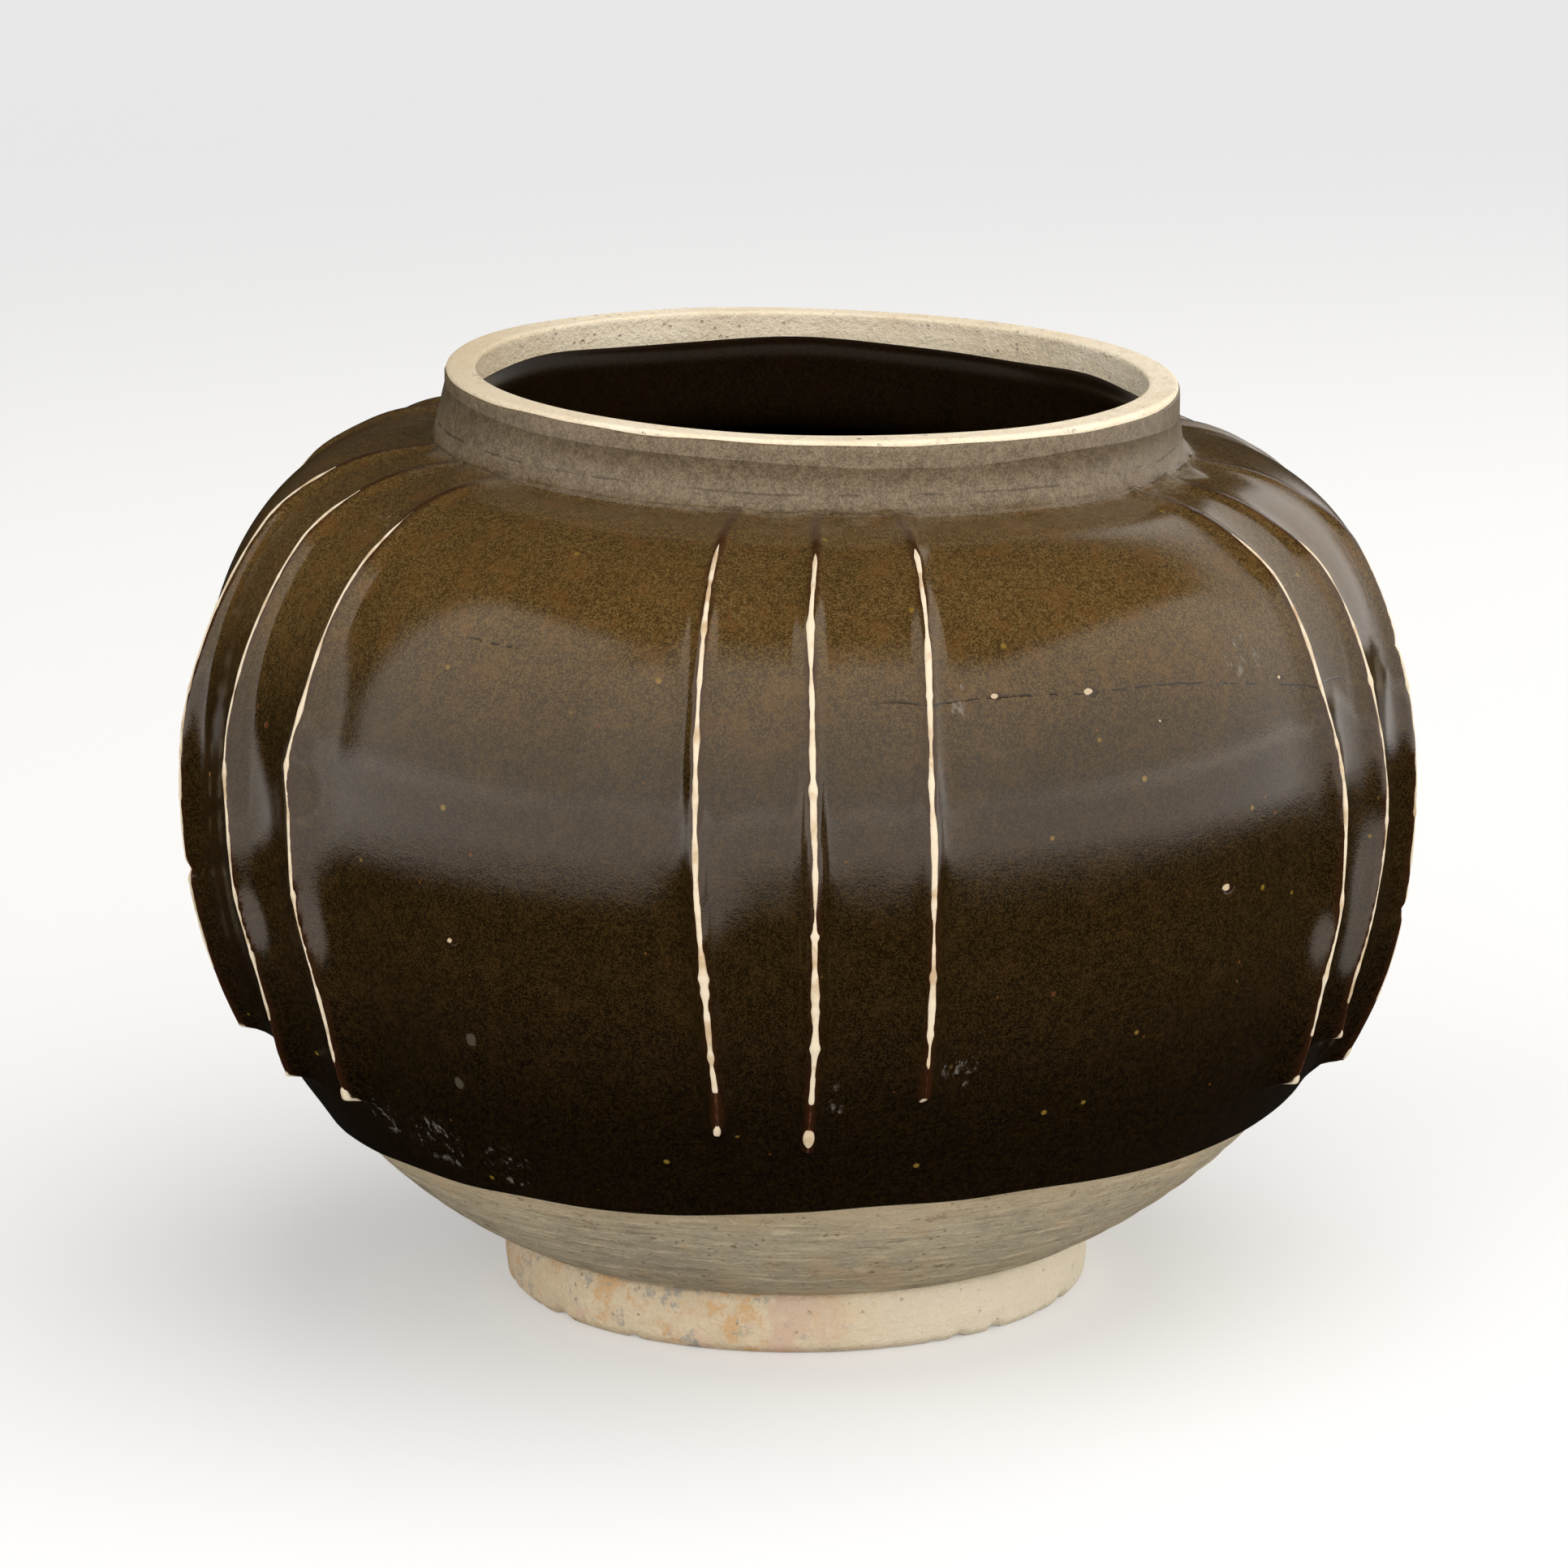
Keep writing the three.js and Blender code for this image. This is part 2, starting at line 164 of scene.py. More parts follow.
def bell(away, width):
    """1 where away is 0, falling on both sides like a bell of this width."""
    return np.exp(-(away / width) ** 2)


def rounded_edge(inward, run):
    """A quarter circle's height: 0 at an edge and 1 from this run inward on."""
    return np.sqrt(np.clip(1 - (1 - np.clip(inward / run, 0, 1)) ** 2, 0, 1))


def waves(angle, amplitudes, seed):
    """A sum of sines round the jar, with whole numbers of waves and fixed random phases."""
    phases = np.random.default_rng(seed).uniform(0, 2 * np.pi, len(amplitudes))
    return sum(a * np.sin((n + 1) * angle + p) for n, (a, p) in enumerate(zip(amplitudes, phases)))


def outline(turn):
    """The body's outline: two superellipse quarters that meet at the belly, where the turn is 0. The
    radius follows a power of its cosine and the level one of its sine."""
    upper = turn > 0
    tall = np.where(upper, SHOULDER_FULLNESS[0], BOWL_FULLNESS[0])
    wide = np.where(upper, SHOULDER_FULLNESS[1], BOWL_FULLNESS[1])
    end_radius = np.where(upper, NECK_BASE_RADIUS, BODY_BASE_RADIUS)
    end_level = np.where(upper, SHOULDER_LEVEL, BODY_BASE)
    rise = np.abs(np.sin(turn)) ** (2 / tall)
    reach = np.maximum(np.cos(turn), 0) ** (2 / wide)
    return end_radius + (BELLY_RADIUS - end_radius) * reach, BELLY_LEVEL + (end_level - BELLY_LEVEL) * rise


class Path:
    """A line of radius and level, spaced evenly, with its corners rounded and its normal on the right."""

    def __init__(self, points, rounding, step=0.1):
        radius, level = np.array(points, float).T
        length = np.concatenate([[0], np.cumsum(np.hypot(np.diff(radius), np.diff(level)))])
        self.along = np.arange(0, length[-1], step)
        self.radius = self.rounded(np.interp(self.along, length, radius), rounding / step)
        self.level = self.rounded(np.interp(self.along, length, level), rounding / step)
        across = np.stack([np.gradient(self.level), -np.gradient(self.radius)])
        self.normal = across / np.hypot(*across)

    @staticmethod
    def rounded(values, width):
        """A running bell-curve average; the ends are mirrored through themselves, so they stay put."""
        half = int(3 * width)
        weights = np.exp(-0.5 * (np.arange(-half, half + 1) / width) ** 2)
        head = 2 * values[0] - values[half:0:-1]
        tail = 2 * values[-1] - values[-2:-half - 2:-1]
        return np.convolve(np.concatenate([head, values, tail]), weights / weights.sum(), "valid")

    def at(self, along, away=0.0):
        """Radius and level of the points at these lengths, moved away along the normal."""
        radius = np.interp(along, self.along, self.radius)
        level = np.interp(along, self.along, self.level)
        out = np.interp(along, self.along, self.normal[0])
        up = np.interp(along, self.along, self.normal[1])
        return radius + out * away, level + up * away

    def length_at_level(self, level):
        """The length where the path first reaches a level; the path climbs all the way."""
        return np.interp(level, self.level, self.along)


def clay_path():
    """The clay's outside, from the body's base over the belly and up the neck to under the lip."""
    turn = np.linspace(-np.pi / 2, np.pi / 2, 900)
    body = np.stack(outline(turn), 1)
    neck = [
        (NECK_BASE_RADIUS - 0.2, SHOULDER_LEVEL + 0.1),
        (NECK_RADIUS + 0.3, SHOULDER_LEVEL + 1.4),
        (NECK_RADIUS, SHOULDER_LEVEL + 3),
        (NECK_RADIUS, LIP_LEVEL - GLAZE_TOP_DEPTH),
    ]
    return Path([*body, *neck], rounding=0.9)


def settled(radius, longitude, level):
    """Points in metres: the radius turned to the longitude, where 0 faces the front, then moved to the
    right by the creep and down by the lean times X. Both grow with the level."""
    x = radius * np.sin(longitude)
    y = -radius * np.cos(longitude)
    lean = smooth((level - BODY_BASE) / LEAN_SPAN) * LEAN * x
    creep = smooth((level - CREEP_START) / (LIP_LEVEL - CREEP_START)) * RIM_CREEP
    return np.stack([x + creep, y, level - lean], -1) * MM


def placed(name, data):
    """A new object in the scene that holds a mesh, a light or a camera."""
    made = bpy.data.objects.new(name, data)
    bpy.context.scene.collection.objects.link(made)
    return made


def mesh_piece(name, points, look, slot, body="root", replaces=(), poles=False, **attributes):
    """A grid of points (rows, columns, xyz) made a closed piece. Columns wrap round the jar.
    Rows wrap from the last to the first, or end at one point each where poles is true."""
    rows, columns = points.shape[:2]
    index = np.arange(rows * columns).reshape(rows, columns)
    ring = np.concatenate([index, index[:, :1]], 1)
    wrapped = ring if poles else np.concatenate([ring, ring[:1]])
    quads = [wrapped[:-1, :-1], wrapped[:-1, 1:], wrapped[1:, 1:], wrapped[1:, :-1]]
    quads = np.stack(quads, -1).reshape(-1, 4)
    vertices = points.reshape(-1, 3)
    values = {key: value.reshape(-1) for key, value in attributes.items()}
    starts = np.arange(len(quads)) * 4
    corners = quads.reshape(-1)
    if poles:
        first, last = len(vertices), len(vertices) + 1
        vertices = np.concatenate([vertices, [points[0].mean(0), points[-1].mean(0)]])
        values = {key: np.concatenate([v, v[[0, -1]]]) for key, v in values.items()}
        low = np.stack([np.full(columns, first), ring[0, 1:], ring[0, :-1]], -1)
        high = np.stack([np.full(columns, last), ring[-1, :-1], ring[-1, 1:]], -1)
        fans = np.concatenate([low, high])
        starts = np.concatenate([starts, len(corners) + np.arange(len(fans)) * 3])
        corners = np.concatenate([corners, fans.reshape(-1)])
    mesh = bpy.data.meshes.new(name)
    mesh.vertices.add(len(vertices))
    mesh.vertices.foreach_set("co", vertices.reshape(-1))
    mesh.loops.add(len(corners))
    mesh.loops.foreach_set("vertex_index", corners)
    mesh.polygons.add(len(starts))
    mesh.polygons.foreach_set("loop_start", starts)
    mesh.update(calc_edges=True)
    mesh.polygons.foreach_set("use_smooth", np.ones(len(starts), bool))
    for key, value in values.items():
        mesh.attributes.new(key, "FLOAT", "POINT").data.foreach_set("value", value)
    mesh.materials.append(look)
    mesh.validate()
    piece = placed(name, mesh)
    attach(piece, body)
    if replaces:
        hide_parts(*replaces)
    return piece


def glazed_columns(count):
    """Longitudes round the jar, three times as close beside the ribs as between the groups."""
    fine = np.linspace(-180, 180, 7200, endpoint=False)
    density = np.ones_like(fine)
    for middle, apart, _ in RIB_GROUPS:
        away = np.abs((fine - middle + 180) % 360 - 180)
        density += 2.6 * smooth((apart + 7 - away) / 3)
    share = np.concatenate([[0], np.cumsum(density)])
    return np.radians(np.interp(np.arange(count) / count, share / share[-1], np.append(fine, 180)))


def all_ribs():
    """Each rib's track, a longitude in radians for every step of the clay path, and where it ends."""
    ribs = []
    for middle, apart, reach in RIB_GROUPS:
        for i, share in enumerate(reach):
            number = len(ribs) + 1
            levels = np.linspace(*TRACK_LEVELS)
            strays = np.random.default_rng(number).uniform(-TRACK_STRAY, TRACK_STRAY, len(levels))
            usual = [(level, middle + (i - 1) * apart + stray) for level, stray in zip(levels, strays)]
            level, longitude = np.array(SEEN_TRACKS.get(number, usual)[::-1], float).T
            track = Path.rounded(np.interp(CLAY.level, level, longitude), TRACK_ROUNDING)
            end = CLAY.length_at_level(BELLY_LEVEL - share * (BELLY_LEVEL - FOOT_HEIGHT))
            ribs.append({"number": number, "track": np.radians(track), "end": end})
    return ribs


CLAY = clay_path()
RIBS = all_ribs()
NECK_FOOT = CLAY.length_at_level(SHOULDER_LEVEL + 0.4)
PATH_TOP = CLAY.along[-1]


def rib_envelope(rib, along):
    """The heights of a rib's flanks and of its narrow ridge along the path: full up to the belly, the
    flanks lower on the shoulder, and both gone at the neck, with a nick here and there."""
    faded = CLAY.length_at_level(RIB_FADE_LEVEL)
    fading = RIB_TOP_SHARE + (1 - RIB_TOP_SHARE) * smooth((faded - along) / RIB_FADE_RUN)
    stopping = smooth((NECK_FOOT + RIB_STOP_PAST - along) / RIB_STOP_RUN)
    even = stopping * (1 - RIB_SWAY + RIB_SWAY * np.sin(along / SWAY_LENGTH + rib["number"]))
    for level, depth in SEEN_NICKS.get(rib["number"], []):
        even = even * (1 - depth * bell(along - CLAY.length_at_level(level), NICK_LENGTH))
    ridge_faded = CLAY.length_at_level(RIDGE_FADE_LEVEL)
    ridge = RIDGE_TOP_SHARE + (1 - RIDGE_TOP_SHARE) * smooth((ridge_faded - along) / RIDGE_FADE_RUN)
    return fading * even * RIB_RELIEF, ridge * even * RIB_RIDGE


def relief(along, longitude):
    """How far the glaze stands out over the ribs: the highest of their sections, which are powers of one
    less the share of the way out from the crest. The second array is 1 on a crest and 0 beside it."""
    radius, _ = CLAY.at(along)
    height = np.zeros_like(along)
    crest = np.zeros_like(along)
    below_neck = smooth((NECK_FOOT - THIN_NECK_GAP - along) / THIN_NECK_RUN)
    for rib in RIBS:
        away = (longitude - np.interp(along, CLAY.along, rib["track"]) + np.pi) % (2 * np.pi) - np.pi
        across = np.maximum(np.abs(away) * radius - RIB_CREST_HALF, 0)
        flank = RIB_FLANK * radius / BELLY_RADIUS
        below = np.maximum(rib["end"] + RIB_END_RUN * RIB_END_ABOVE - along, 0) / RIB_END_RUN
        fall = np.clip(np.hypot(across / flank, below), 0, 1)
        narrow = np.clip(np.hypot(across / RIDGE_HALF, below), 0, 1)
        wide, ridge = rib_envelope(rib, along)
        section = wide * (1 - fall) ** FLANK_HOLLOW + ridge * (1 - narrow) ** RIDGE_HOLLOW
        height = np.maximum(height, section)
        thin = smooth(1 - across / THIN_RUN) * smooth(1 - below / THIN_END) * below_neck
        crest = np.maximum(crest, thin)
    return height, crest


class Value:
    """A shader socket that adds Math nodes when it stands in an expression."""

    def __init__(self, finish, socket):
        self.finish = finish
        self.socket = socket

    def math(self, operation, *inputs):
        return self.finish.node("ShaderNodeMath", {"operation": operation}, inputs)

    def __add__(self, other):
        return self.math("ADD", self, other)

    def __sub__(self, other):
        return self.math("SUBTRACT", self, other)

    def __mul__(self, other):
        return self.math("MULTIPLY", self, other)

    def __rsub__(self, other):
        return self.math("SUBTRACT", other, self)

    __radd__ = __add__
    __rmul__ = __mul__

    def at_least(self, other):
        return self.math("MAXIMUM", self, other)

    def at_most(self, other):
        return self.math("MINIMUM", self, other)

    def size(self):
        """The value without its sign."""
        return self.math("ABSOLUTE", self)

    def output(self, name):
        """Another output of the node that gives this one."""
        return Value(self.finish, self.socket.node.outputs[name])

    def ramp(self, low, high):
        """0 at low and 1 at high, with a smooth step between; low may be the larger."""
        limits = {"Value": self, "From Min": min(low, high), "From Max": max(low, high)}
        if low > high:
            limits.update({"To Min": 1.0, "To Max": 0.0})
        return self.finish.node("ShaderNodeMapRange", {"interpolation_type": "SMOOTHSTEP"}, limits)


class Nodes:
    """The node tree of a material or a world."""

    def __init__(self, tree):
        self.tree = tree

    def node(self, kind, settings=(), inputs=(), out=0):
        """Adds a node: its settings first, then the values or links of its inputs, and gives one output."""
        made = self.tree.nodes.new(kind)
        for key, value in dict(settings).items():
            setattr(made, key, value)
        for key, value in inputs.items() if isinstance(inputs, dict) else enumerate(inputs):
            self.feed(made.inputs[key], value)
        return Value(self, made.outputs[out])

    def feed(self, socket, value):
        """Links a value to a socket, or sets the socket to a number or a colour."""
        if isinstance(value, Value):
            self.tree.links.new(value.socket, socket)
        elif socket.type == "RGBA":
            socket.default_value = (*value, 1)
        else:
            socket.default_value = value

    def vector(self, operation, *inputs, out=0):
        return self.node("ShaderNodeVectorMath", {"operation": operation}, inputs, out)

    def mix(self, factor, a, b):
        """Two colours mixed by a factor."""
        return self.node("ShaderNodeMix", {"data_type": "RGBA"}, {0: factor, 6: a, 7: b}, 2)


class Finish(Nodes):
    """A material with one Principled shader; keyword values go straight onto its sockets."""

    def __init__(self, name, **uniform):
        self.material = bpy.data.materials.new(name)
        self.material.use_nodes = True
        super().__init__(self.material.node_tree)
        self.shader = self.tree.nodes["Principled BSDF"]
        for socket, value in uniform.items():
            self.shader.inputs[socket.replace("_", " ")].default_value = value
        self.place = self.node("ShaderNodeTexCoord", out="Object")
        axes = self.node("ShaderNodeSeparateXYZ", {}, [self.place])
        self.x, self.y, self.z = axes, axes.output("Y"), axes.output("Z")
        self.edge_noises = {}

    def noise(self, scale, detail=3.0, roughness=0.55, stretch=None):
        """Noise from 0 to 1 with this many cells in a metre; stretch scales X, Y and Z."""
        place = self.place
        if stretch:
            place = self.node("ShaderNodeMapping", {}, {"Vector": place, "Scale": stretch})
        inputs = {"Vector": place, "Scale": scale, "Detail": detail, "Roughness": roughness}
        return self.node("ShaderNodeTexNoise", {}, inputs)

    def spots(self, scale, size, share):
        """Round spots: the cells of a Voronoi pattern, of which only this share holds a spot."""
        cells = self.node("ShaderNodeTexVoronoi", {}, {"Vector": self.place, "Scale": scale}, "Distance")
        chosen = self.node("ShaderNodeSeparateColor", {}, [cells.output("Color")])
        return cells.ramp(size, size * 0.5) * chosen.ramp(1 - share, 1.02 - share)

    def attribute(self, name):
        """A float attribute of the mesh."""
        return self.node("ShaderNodeAttribute", {"attribute_name": name}, (), "Fac")

    def near(self, point, reach, ragged, grain=1500, flat=1.0):
        """1 at a point of the object and 0 beyond this reach in metres, with an edge made ragged by noise
        of this grain; a flat mark is lower than it is wide."""
        away = self.vector("SUBTRACT", self.place, point)
        away = self.vector("MULTIPLY", away, (1, 1, flat))
        away = self.vector("LENGTH", away, out="Value")
        if grain not in self.edge_noises:
            self.edge_noises[grain] = self.noise(grain, 2, 0.6) - 0.5
        away = away + self.edge_noises[grain] * ragged
        return away.ramp(reach, reach * 0.75)

    def bump(self, height, strength, distance):
        """Bumps the shader's normal by this height."""
        inputs = {"Height": height, "Strength": strength, "Distance": distance}
        self.feed(self.shader.inputs["Normal"], self.node("ShaderNodeBump", {}, inputs))

    def paint(self, **varying):
        """Feeds the shader's varying sockets and gives the finished material."""
        for socket, value in varying.items():
            self.feed(self.shader.inputs[socket.replace("_", " ")], value)
        return self.material


def on_coat(longitude, level):
    """The point of the coat at this longitude in degrees and level in millimetres, in metres."""
    radius, level = CLAY.at(CLAY.length_at_level(level), COAT)
    return tuple(float(c) for c in settled(radius, math.radians(longitude), level))


# Marks on the coat: longitude, level and size in millimetres
SEAM_CHIPS = [(17.7, 93.2, 0.4), (27.4, 93.0, 0.6), (51.6, 91.2, 0.3)]
PALE_GRIT = [(42.9, 67.3, 0.7), (-33.4, 60.2, 0.4), (34.9, 88.9, 0.28), (55.7, 107.9, 0.8)]
DULL_PITS = [(-35.2, 41.2, 0.75), (-32.4, 47.6, 0.75), (3.4, 46.5, 0.9), (8.0, 78.9, 0.4)]
RUST_PITS = [(-31.0, 71.5, 0.35), (-53.1, 85.0, 0.45), (-51.7, 77.5, 0.75), (-8.1, 101.1, 0.3),
             (-60.0, 80.3, 0.5), (24.0, 57.0, 0.3), (-19.3, 88.7, 0.3), (49.4, 75.4, 0.3)]
DUSTY_SCUFFS = [(-42.0, 31.5, 5.0), (-33.0, 30.0, 4.0), (-50.0, 33.5, 4.0), (15.6, 48.5, 2.8),
                (3.5, 44.0, 2.2), (-7.4, 44.0, 1.6), (14.3, 92.8, 2.0), (46.9, 94.6, 3.5),
                (-56.5, 104.8, 3.0), (6.0, 109.0, 3.0)]

# Colours of strokes, stains and specks on the bare clay
CLAY_STROKE = (0.66, 0.56, 0.39)
CLAY_TAN = (0.5, 0.32, 0.16)
CLAY_BROWN = (0.15, 0.09, 0.05)

# Brown chips on the lip's edges: place and size in millimetres
LIP_CHIPS = [(-15.0, 44.2, 1.3), (-12.4, 45.4, 0.8), (-19.0, -42.4, 0.6), (-17.2, -43.2, 0.5),
             (7.5, -44.9, 0.5)]

# Colours of the glaze: ground and flecks (the low ones partly painted shade), rusty and amber places, thin
# edges, neck and inside
GROUND_LOW = (0.0012, 0.0005, 0.0001)
GROUND_HIGH = (0.046, 0.025, 0.0065)
FLECK_LOW = (0.0135, 0.0068, 0.0012)
FLECK_HIGH = (0.13, 0.078, 0.024)
RUSTY_MOTTLE = (0.12, 0.055, 0.014)
RUST_SPOT = (0.13, 0.05, 0.012)
AMBER_SPOT = (0.2, 0.125, 0.02)
THIN_GLAZE = (0.03, 0.009, 0.003)
NECK_DARK = (0.075, 0.053, 0.031)
NECK_PALE = (0.22, 0.17, 0.11)
INNER_DARK = (0.0015, 0.0006, 0.0002)

# Cracks, in metres: the seam's sag on the right and step up on the left, and the neck's level
SEAM_SAG = 0.0052
SEAM_STEP_LEFT = 0.0033
NECK_CRACK_LEVEL = 0.1131

# Colours of the marks on it
CRACK_DARK = (0.005, 0.0025, 0.001)
RUST_PIT = (0.1, 0.034, 0.01)
DULL_PIT = (0.075, 0.062, 0.042)
CHIP_RIM = (0.02, 0.008, 0.004)
CHIP_PALE = (0.5, 0.39, 0.25)
DUST = (0.22, 0.2, 0.175)


def dark_glaze(name, outer):
    """Iron glaze: olive brown with a fine grain and sparse amber spots, darker low down, partly with painted
    shade, and rusty where it is thin. The outer coat is duller on the neck and has its marks."""
    finish = Finish(name, IOR=1.5, Specular_Tint=(1, 0.9, 0.79, 1),
                    Specular_IOR_Level=0.5 if outer else 0.1)
    cloud = finish.noise(24, 4, 0.6)
    patch = finish.noise(120, 4, 0.6)
    medium = finish.noise(1500, 2, 0.5)
    grain = finish.noise(4200, 2, 0.65) * 0.75 + medium * 0.25

    # Tone: nearly 0 low on the bowl, a fifth at the belly and 1 at the neck, with clouds and patches. The
    # climb is partly the glaze's own colour and partly painted shade low down and painted light on the
    # top-lit shoulder
    height_tone_and_painted_shade = finish.z.ramp(0.03, 0.09) * 0.22 + finish.z.ramp(0.079, 0.105) * 0.78
    uneven = (cloud - 0.5) * 0.5 + (patch - 0.5) * 0.6
    tone = height_tone_and_painted_shade + uneven * (height_tone_and_painted_shade * 0.7 + 0.16)
    tone = tone.at_least(finish.z.ramp(0.035, 0.062) * 0.14 + 0.015)

    # Pale flecks on a dark ground, rusty mottling, two kinds of spots, and thin places
    ground = finish.mix(tone, GROUND_LOW, GROUND_HIGH)
    fleck = finish.mix(tone, FLECK_LOW, FLECK_HIGH)
    base = finish.mix(grain.ramp(0.43, 0.6), ground, fleck)
    mottled = finish.noise(260, 4, 0.7).ramp(0.5, 0.62) * tone.at_most(1.0)
    base = finish.mix(mottled * 0.4, base, RUSTY_MOTTLE)
    amber = finish.spots(190, 0.09, 0.45) * 0.85
    rusty = finish.spots(330, 0.08, 0.14) * 0.8
    base = finish.mix(rusty, base, RUST_SPOT)
    base = finish.mix(amber, base, AMBER_SPOT)
    thin = finish.attribute("thin")
    base = finish.mix(thin * (patch * 0.6 + 0.5).at_most(1.0), base, THIN_GLAZE)

    # Glossy, and duller low on the bowl and high on the shoulder
    rough = 0.035 + grain * 0.05 + cloud * 0.03 + finish.z.ramp(0.09, 0.106) * 0.09
    rough = rough + finish.z.ramp(0.064, 0.05) * 0.1
    height = finish.noise(70, 2) * 0.9 + finish.noise(400, 3, 0.6) * 0.3 + grain * 0.3
    if outer:
        neck = (finish.z + finish.x * LEAN + (patch - 0.5) * 0.004).ramp(0.1096, 0.1122)
        mottle = (grain * 0.7 + finish.noise(700, 4, 0.65) * 0.3).ramp(0.36, 0.66)
        neck_colour = finish.mix(mottle, NECK_DARK, NECK_PALE)
        base = finish.mix(neck * 0.93, base, neck_colour)
        rough = rough + neck * 0.32
        base, rough, height = add_marks(finish, base, rough, height)
    else:
        base = finish.mix(0.9, base, INNER_DARK)
        rough = rough + 0.12
    finish.bump(height, 0.3, 0.00014)
    return finish.paint(Base_Color=base, Roughness=rough)


def add_marks(finish, base, rough, height):
    """The hairline seam with its chips, a crack round the neck, grit, pits and dusty scuffs."""
    # The seam's crack wanders and breaks, sags to the right, and has a higher stretch on the left
    wander = (finish.noise(70, 4, 0.6) - 0.5) * 0.0018
    broken = finish.noise(420, 3, 0.6)
    sag = finish.x.ramp(0.042, 0.076) * SEAM_SAG - 0.0003
    level = finish.z + finish.x * LEAN + sag - SEAM_LEVEL * MM + wander
    front = finish.y.ramp(-0.01, -0.03) * finish.x.ramp(0.004, 0.016) * finish.x.ramp(0.071, 0.066)
    seam = level.size().ramp(0.0002, 0.00006) * broken.ramp(0.42, 0.52) * front
    left = finish.y.ramp(-0.01, -0.03) * finish.x.ramp(-0.0325, -0.0345) * finish.x.ramp(-0.041, -0.0385)
    seam_left = (level - SEAM_STEP_LEFT).size().ramp(0.00022, 0.00008) * broken.ramp(0.46, 0.54) * left
    neck_level = finish.z + finish.x * LEAN - NECK_CRACK_LEVEL + wander * 0.6
    neck_crack = neck_level.size().ramp(0.00022, 0.00006) * finish.noise(200, 3).ramp(0.46, 0.56)
    crack = seam.at_least(seam_left).at_least(neck_crack * 0.55)
    base = finish.mix(crack * 0.9, base, CRACK_DARK)
    height = height - crack * 1.2
    for longitude, mark_level, size in RUST_PITS:
        pit = finish.near(on_coat(longitude, mark_level), size * MM, 0.0005)
        base = finish.mix(pit * 0.75, base, RUST_PIT)
        height = height - pit * 1.2
    for longitude, mark_level, size in DULL_PITS:
        pit = finish.near(on_coat(longitude, mark_level), size * MM, 0.0006, flat=0.7)
        base = finish.mix(pit * 0.7, base, DULL_PIT)
        rough = rough.at_least(pit * 0.5)
    for longitude, mark_level, size in SEAM_CHIPS + PALE_GRIT:
        rim = finish.near(on_coat(longitude + 0.35, mark_level - 0.1), size * 1.7 * MM, 0.0009, flat=1.5)
        chip = finish.near(on_coat(longitude, mark_level), size * MM, 0.0008, flat=1.3)
        base = finish.mix(rim * 0.85, base, CHIP_RIM)
        base = finish.mix(chip, base, CHIP_PALE)
        rough = rough.at_least(chip * 0.75)
        height = height - rim * 0.8
    scratches = finish.noise(800, 4, 0.7, stretch=(1.0, 1.0, 0.5)).ramp(0.55, 0.68)
    for longitude, mark_level, size in DUSTY_SCUFFS:
        scuff = finish.near(on_coat(longitude, mark_level), size * MM, 0.005, 300) * scratches
        base = finish.mix(scuff * 0.6, base, DUST)
        rough = rough.at_least(scuff * 0.6)
    return base, rough, height


def bare_clay(name, pale, middle, dark, stained, streaked):
    """Bare stoneware: soft clouds and grit, short turning strokes, tan stains, brown specks and pits."""
    finish = Finish(name, IOR=1.4, Specular_IOR_Level=0.3)
    cloud = finish.noise(45, 5, 0.62)
    fine = finish.noise(230, 5, 0.7)
    grit = finish.noise(1500, 3, 0.7)
    strokes = finish.noise(800, 4, 0.65, stretch=(0.2, 0.2, 1.7))
    tone = cloud * 0.4 + fine * 0.3 + grit * 0.3
    base = finish.mix(tone.ramp(0.4, 0.58), middle, pale)
    base = finish.mix(strokes.ramp(0.55, 0.66) * (0.6 * streaked), base, CLAY_STROKE)
    base = finish.mix(strokes.ramp(0.44, 0.34) * (0.5 * streaked), base, dark)
    stain = (finish.noise(60, 5, 0.72) * 0.6 + fine * 0.4).ramp(0.5, 0.6)
    base = finish.mix(stain * stained, base, CLAY_TAN)
    specks = (finish.noise(180, 4, 0.7, stretch=(0.6, 0.6, 1.3)) * 0.7 + grit * 0.3).ramp(0.57, 0.64)
    base = finish.mix(specks * (0.5 * streaked + 0.2), base, CLAY_BROWN)
    pits = finish.spots(640, 0.3, 0.05).at_least(finish.spots(1200, 0.3, 0.08))
    base = finish.mix(pits * (0.3 * streaked + 0.15), base, CLAY_BROWN)
    height = cloud * 1.0 + fine * 1.4 + strokes * (1.3 * streaked) + grit * 1.0 - pits * 0.9
    finish.bump(height, 0.9, 0.0004)
    return finish, base, 0.74 + grit * 0.18


def foot_clay():
    """The foot ring's clay: cream, mottled with ochre, pink and grey except on its right."""
    tones = [(0.82, 0.7, 0.51), (0.72, 0.58, 0.4), (0.34, 0.24, 0.15)]
    finish, base, rough = bare_clay("foot_clay", *tones, 0.2, 0.15)
    mottled = finish.x.ramp(0.014, -0.004) * 0.85
    base = finish.mix(finish.noise(150, 5, 0.75).ramp(0.5, 0.6) * mottled, base, (0.72, 0.45, 0.22))
    base = finish.mix(finish.noise(90, 5, 0.7).ramp(0.52, 0.64) * mottled, base, (0.7, 0.5, 0.38))
    base = finish.mix(finish.noise(210, 5, 0.75).ramp(0.54, 0.64) * mottled, base, (0.4, 0.37, 0.33))
    clean = finish.x.ramp(-0.002, 0.02) * 0.75
    return finish.paint(Base_Color=finish.mix(clean, base, (0.85, 0.77, 0.61)), Roughness=rough)


def body_clay():
    """The body's bare clay: grey, and tan in a band under the glaze."""
    tones = [(0.45, 0.385, 0.27), (0.34, 0.295, 0.21), (0.18, 0.145, 0.095)]
    finish, base, rough = bare_clay("body_clay", *tones, 0.3, 1.0)
    ragged = (finish.noise(120, 4, 0.7) - 0.5) * 0.006
    edge = (finish.z - finish.x * 0.039 + ragged).ramp(0.0205, 0.0262)
    return finish.paint(Base_Color=finish.mix(edge * 0.5, base, (0.56, 0.43, 0.26)), Roughness=rough)


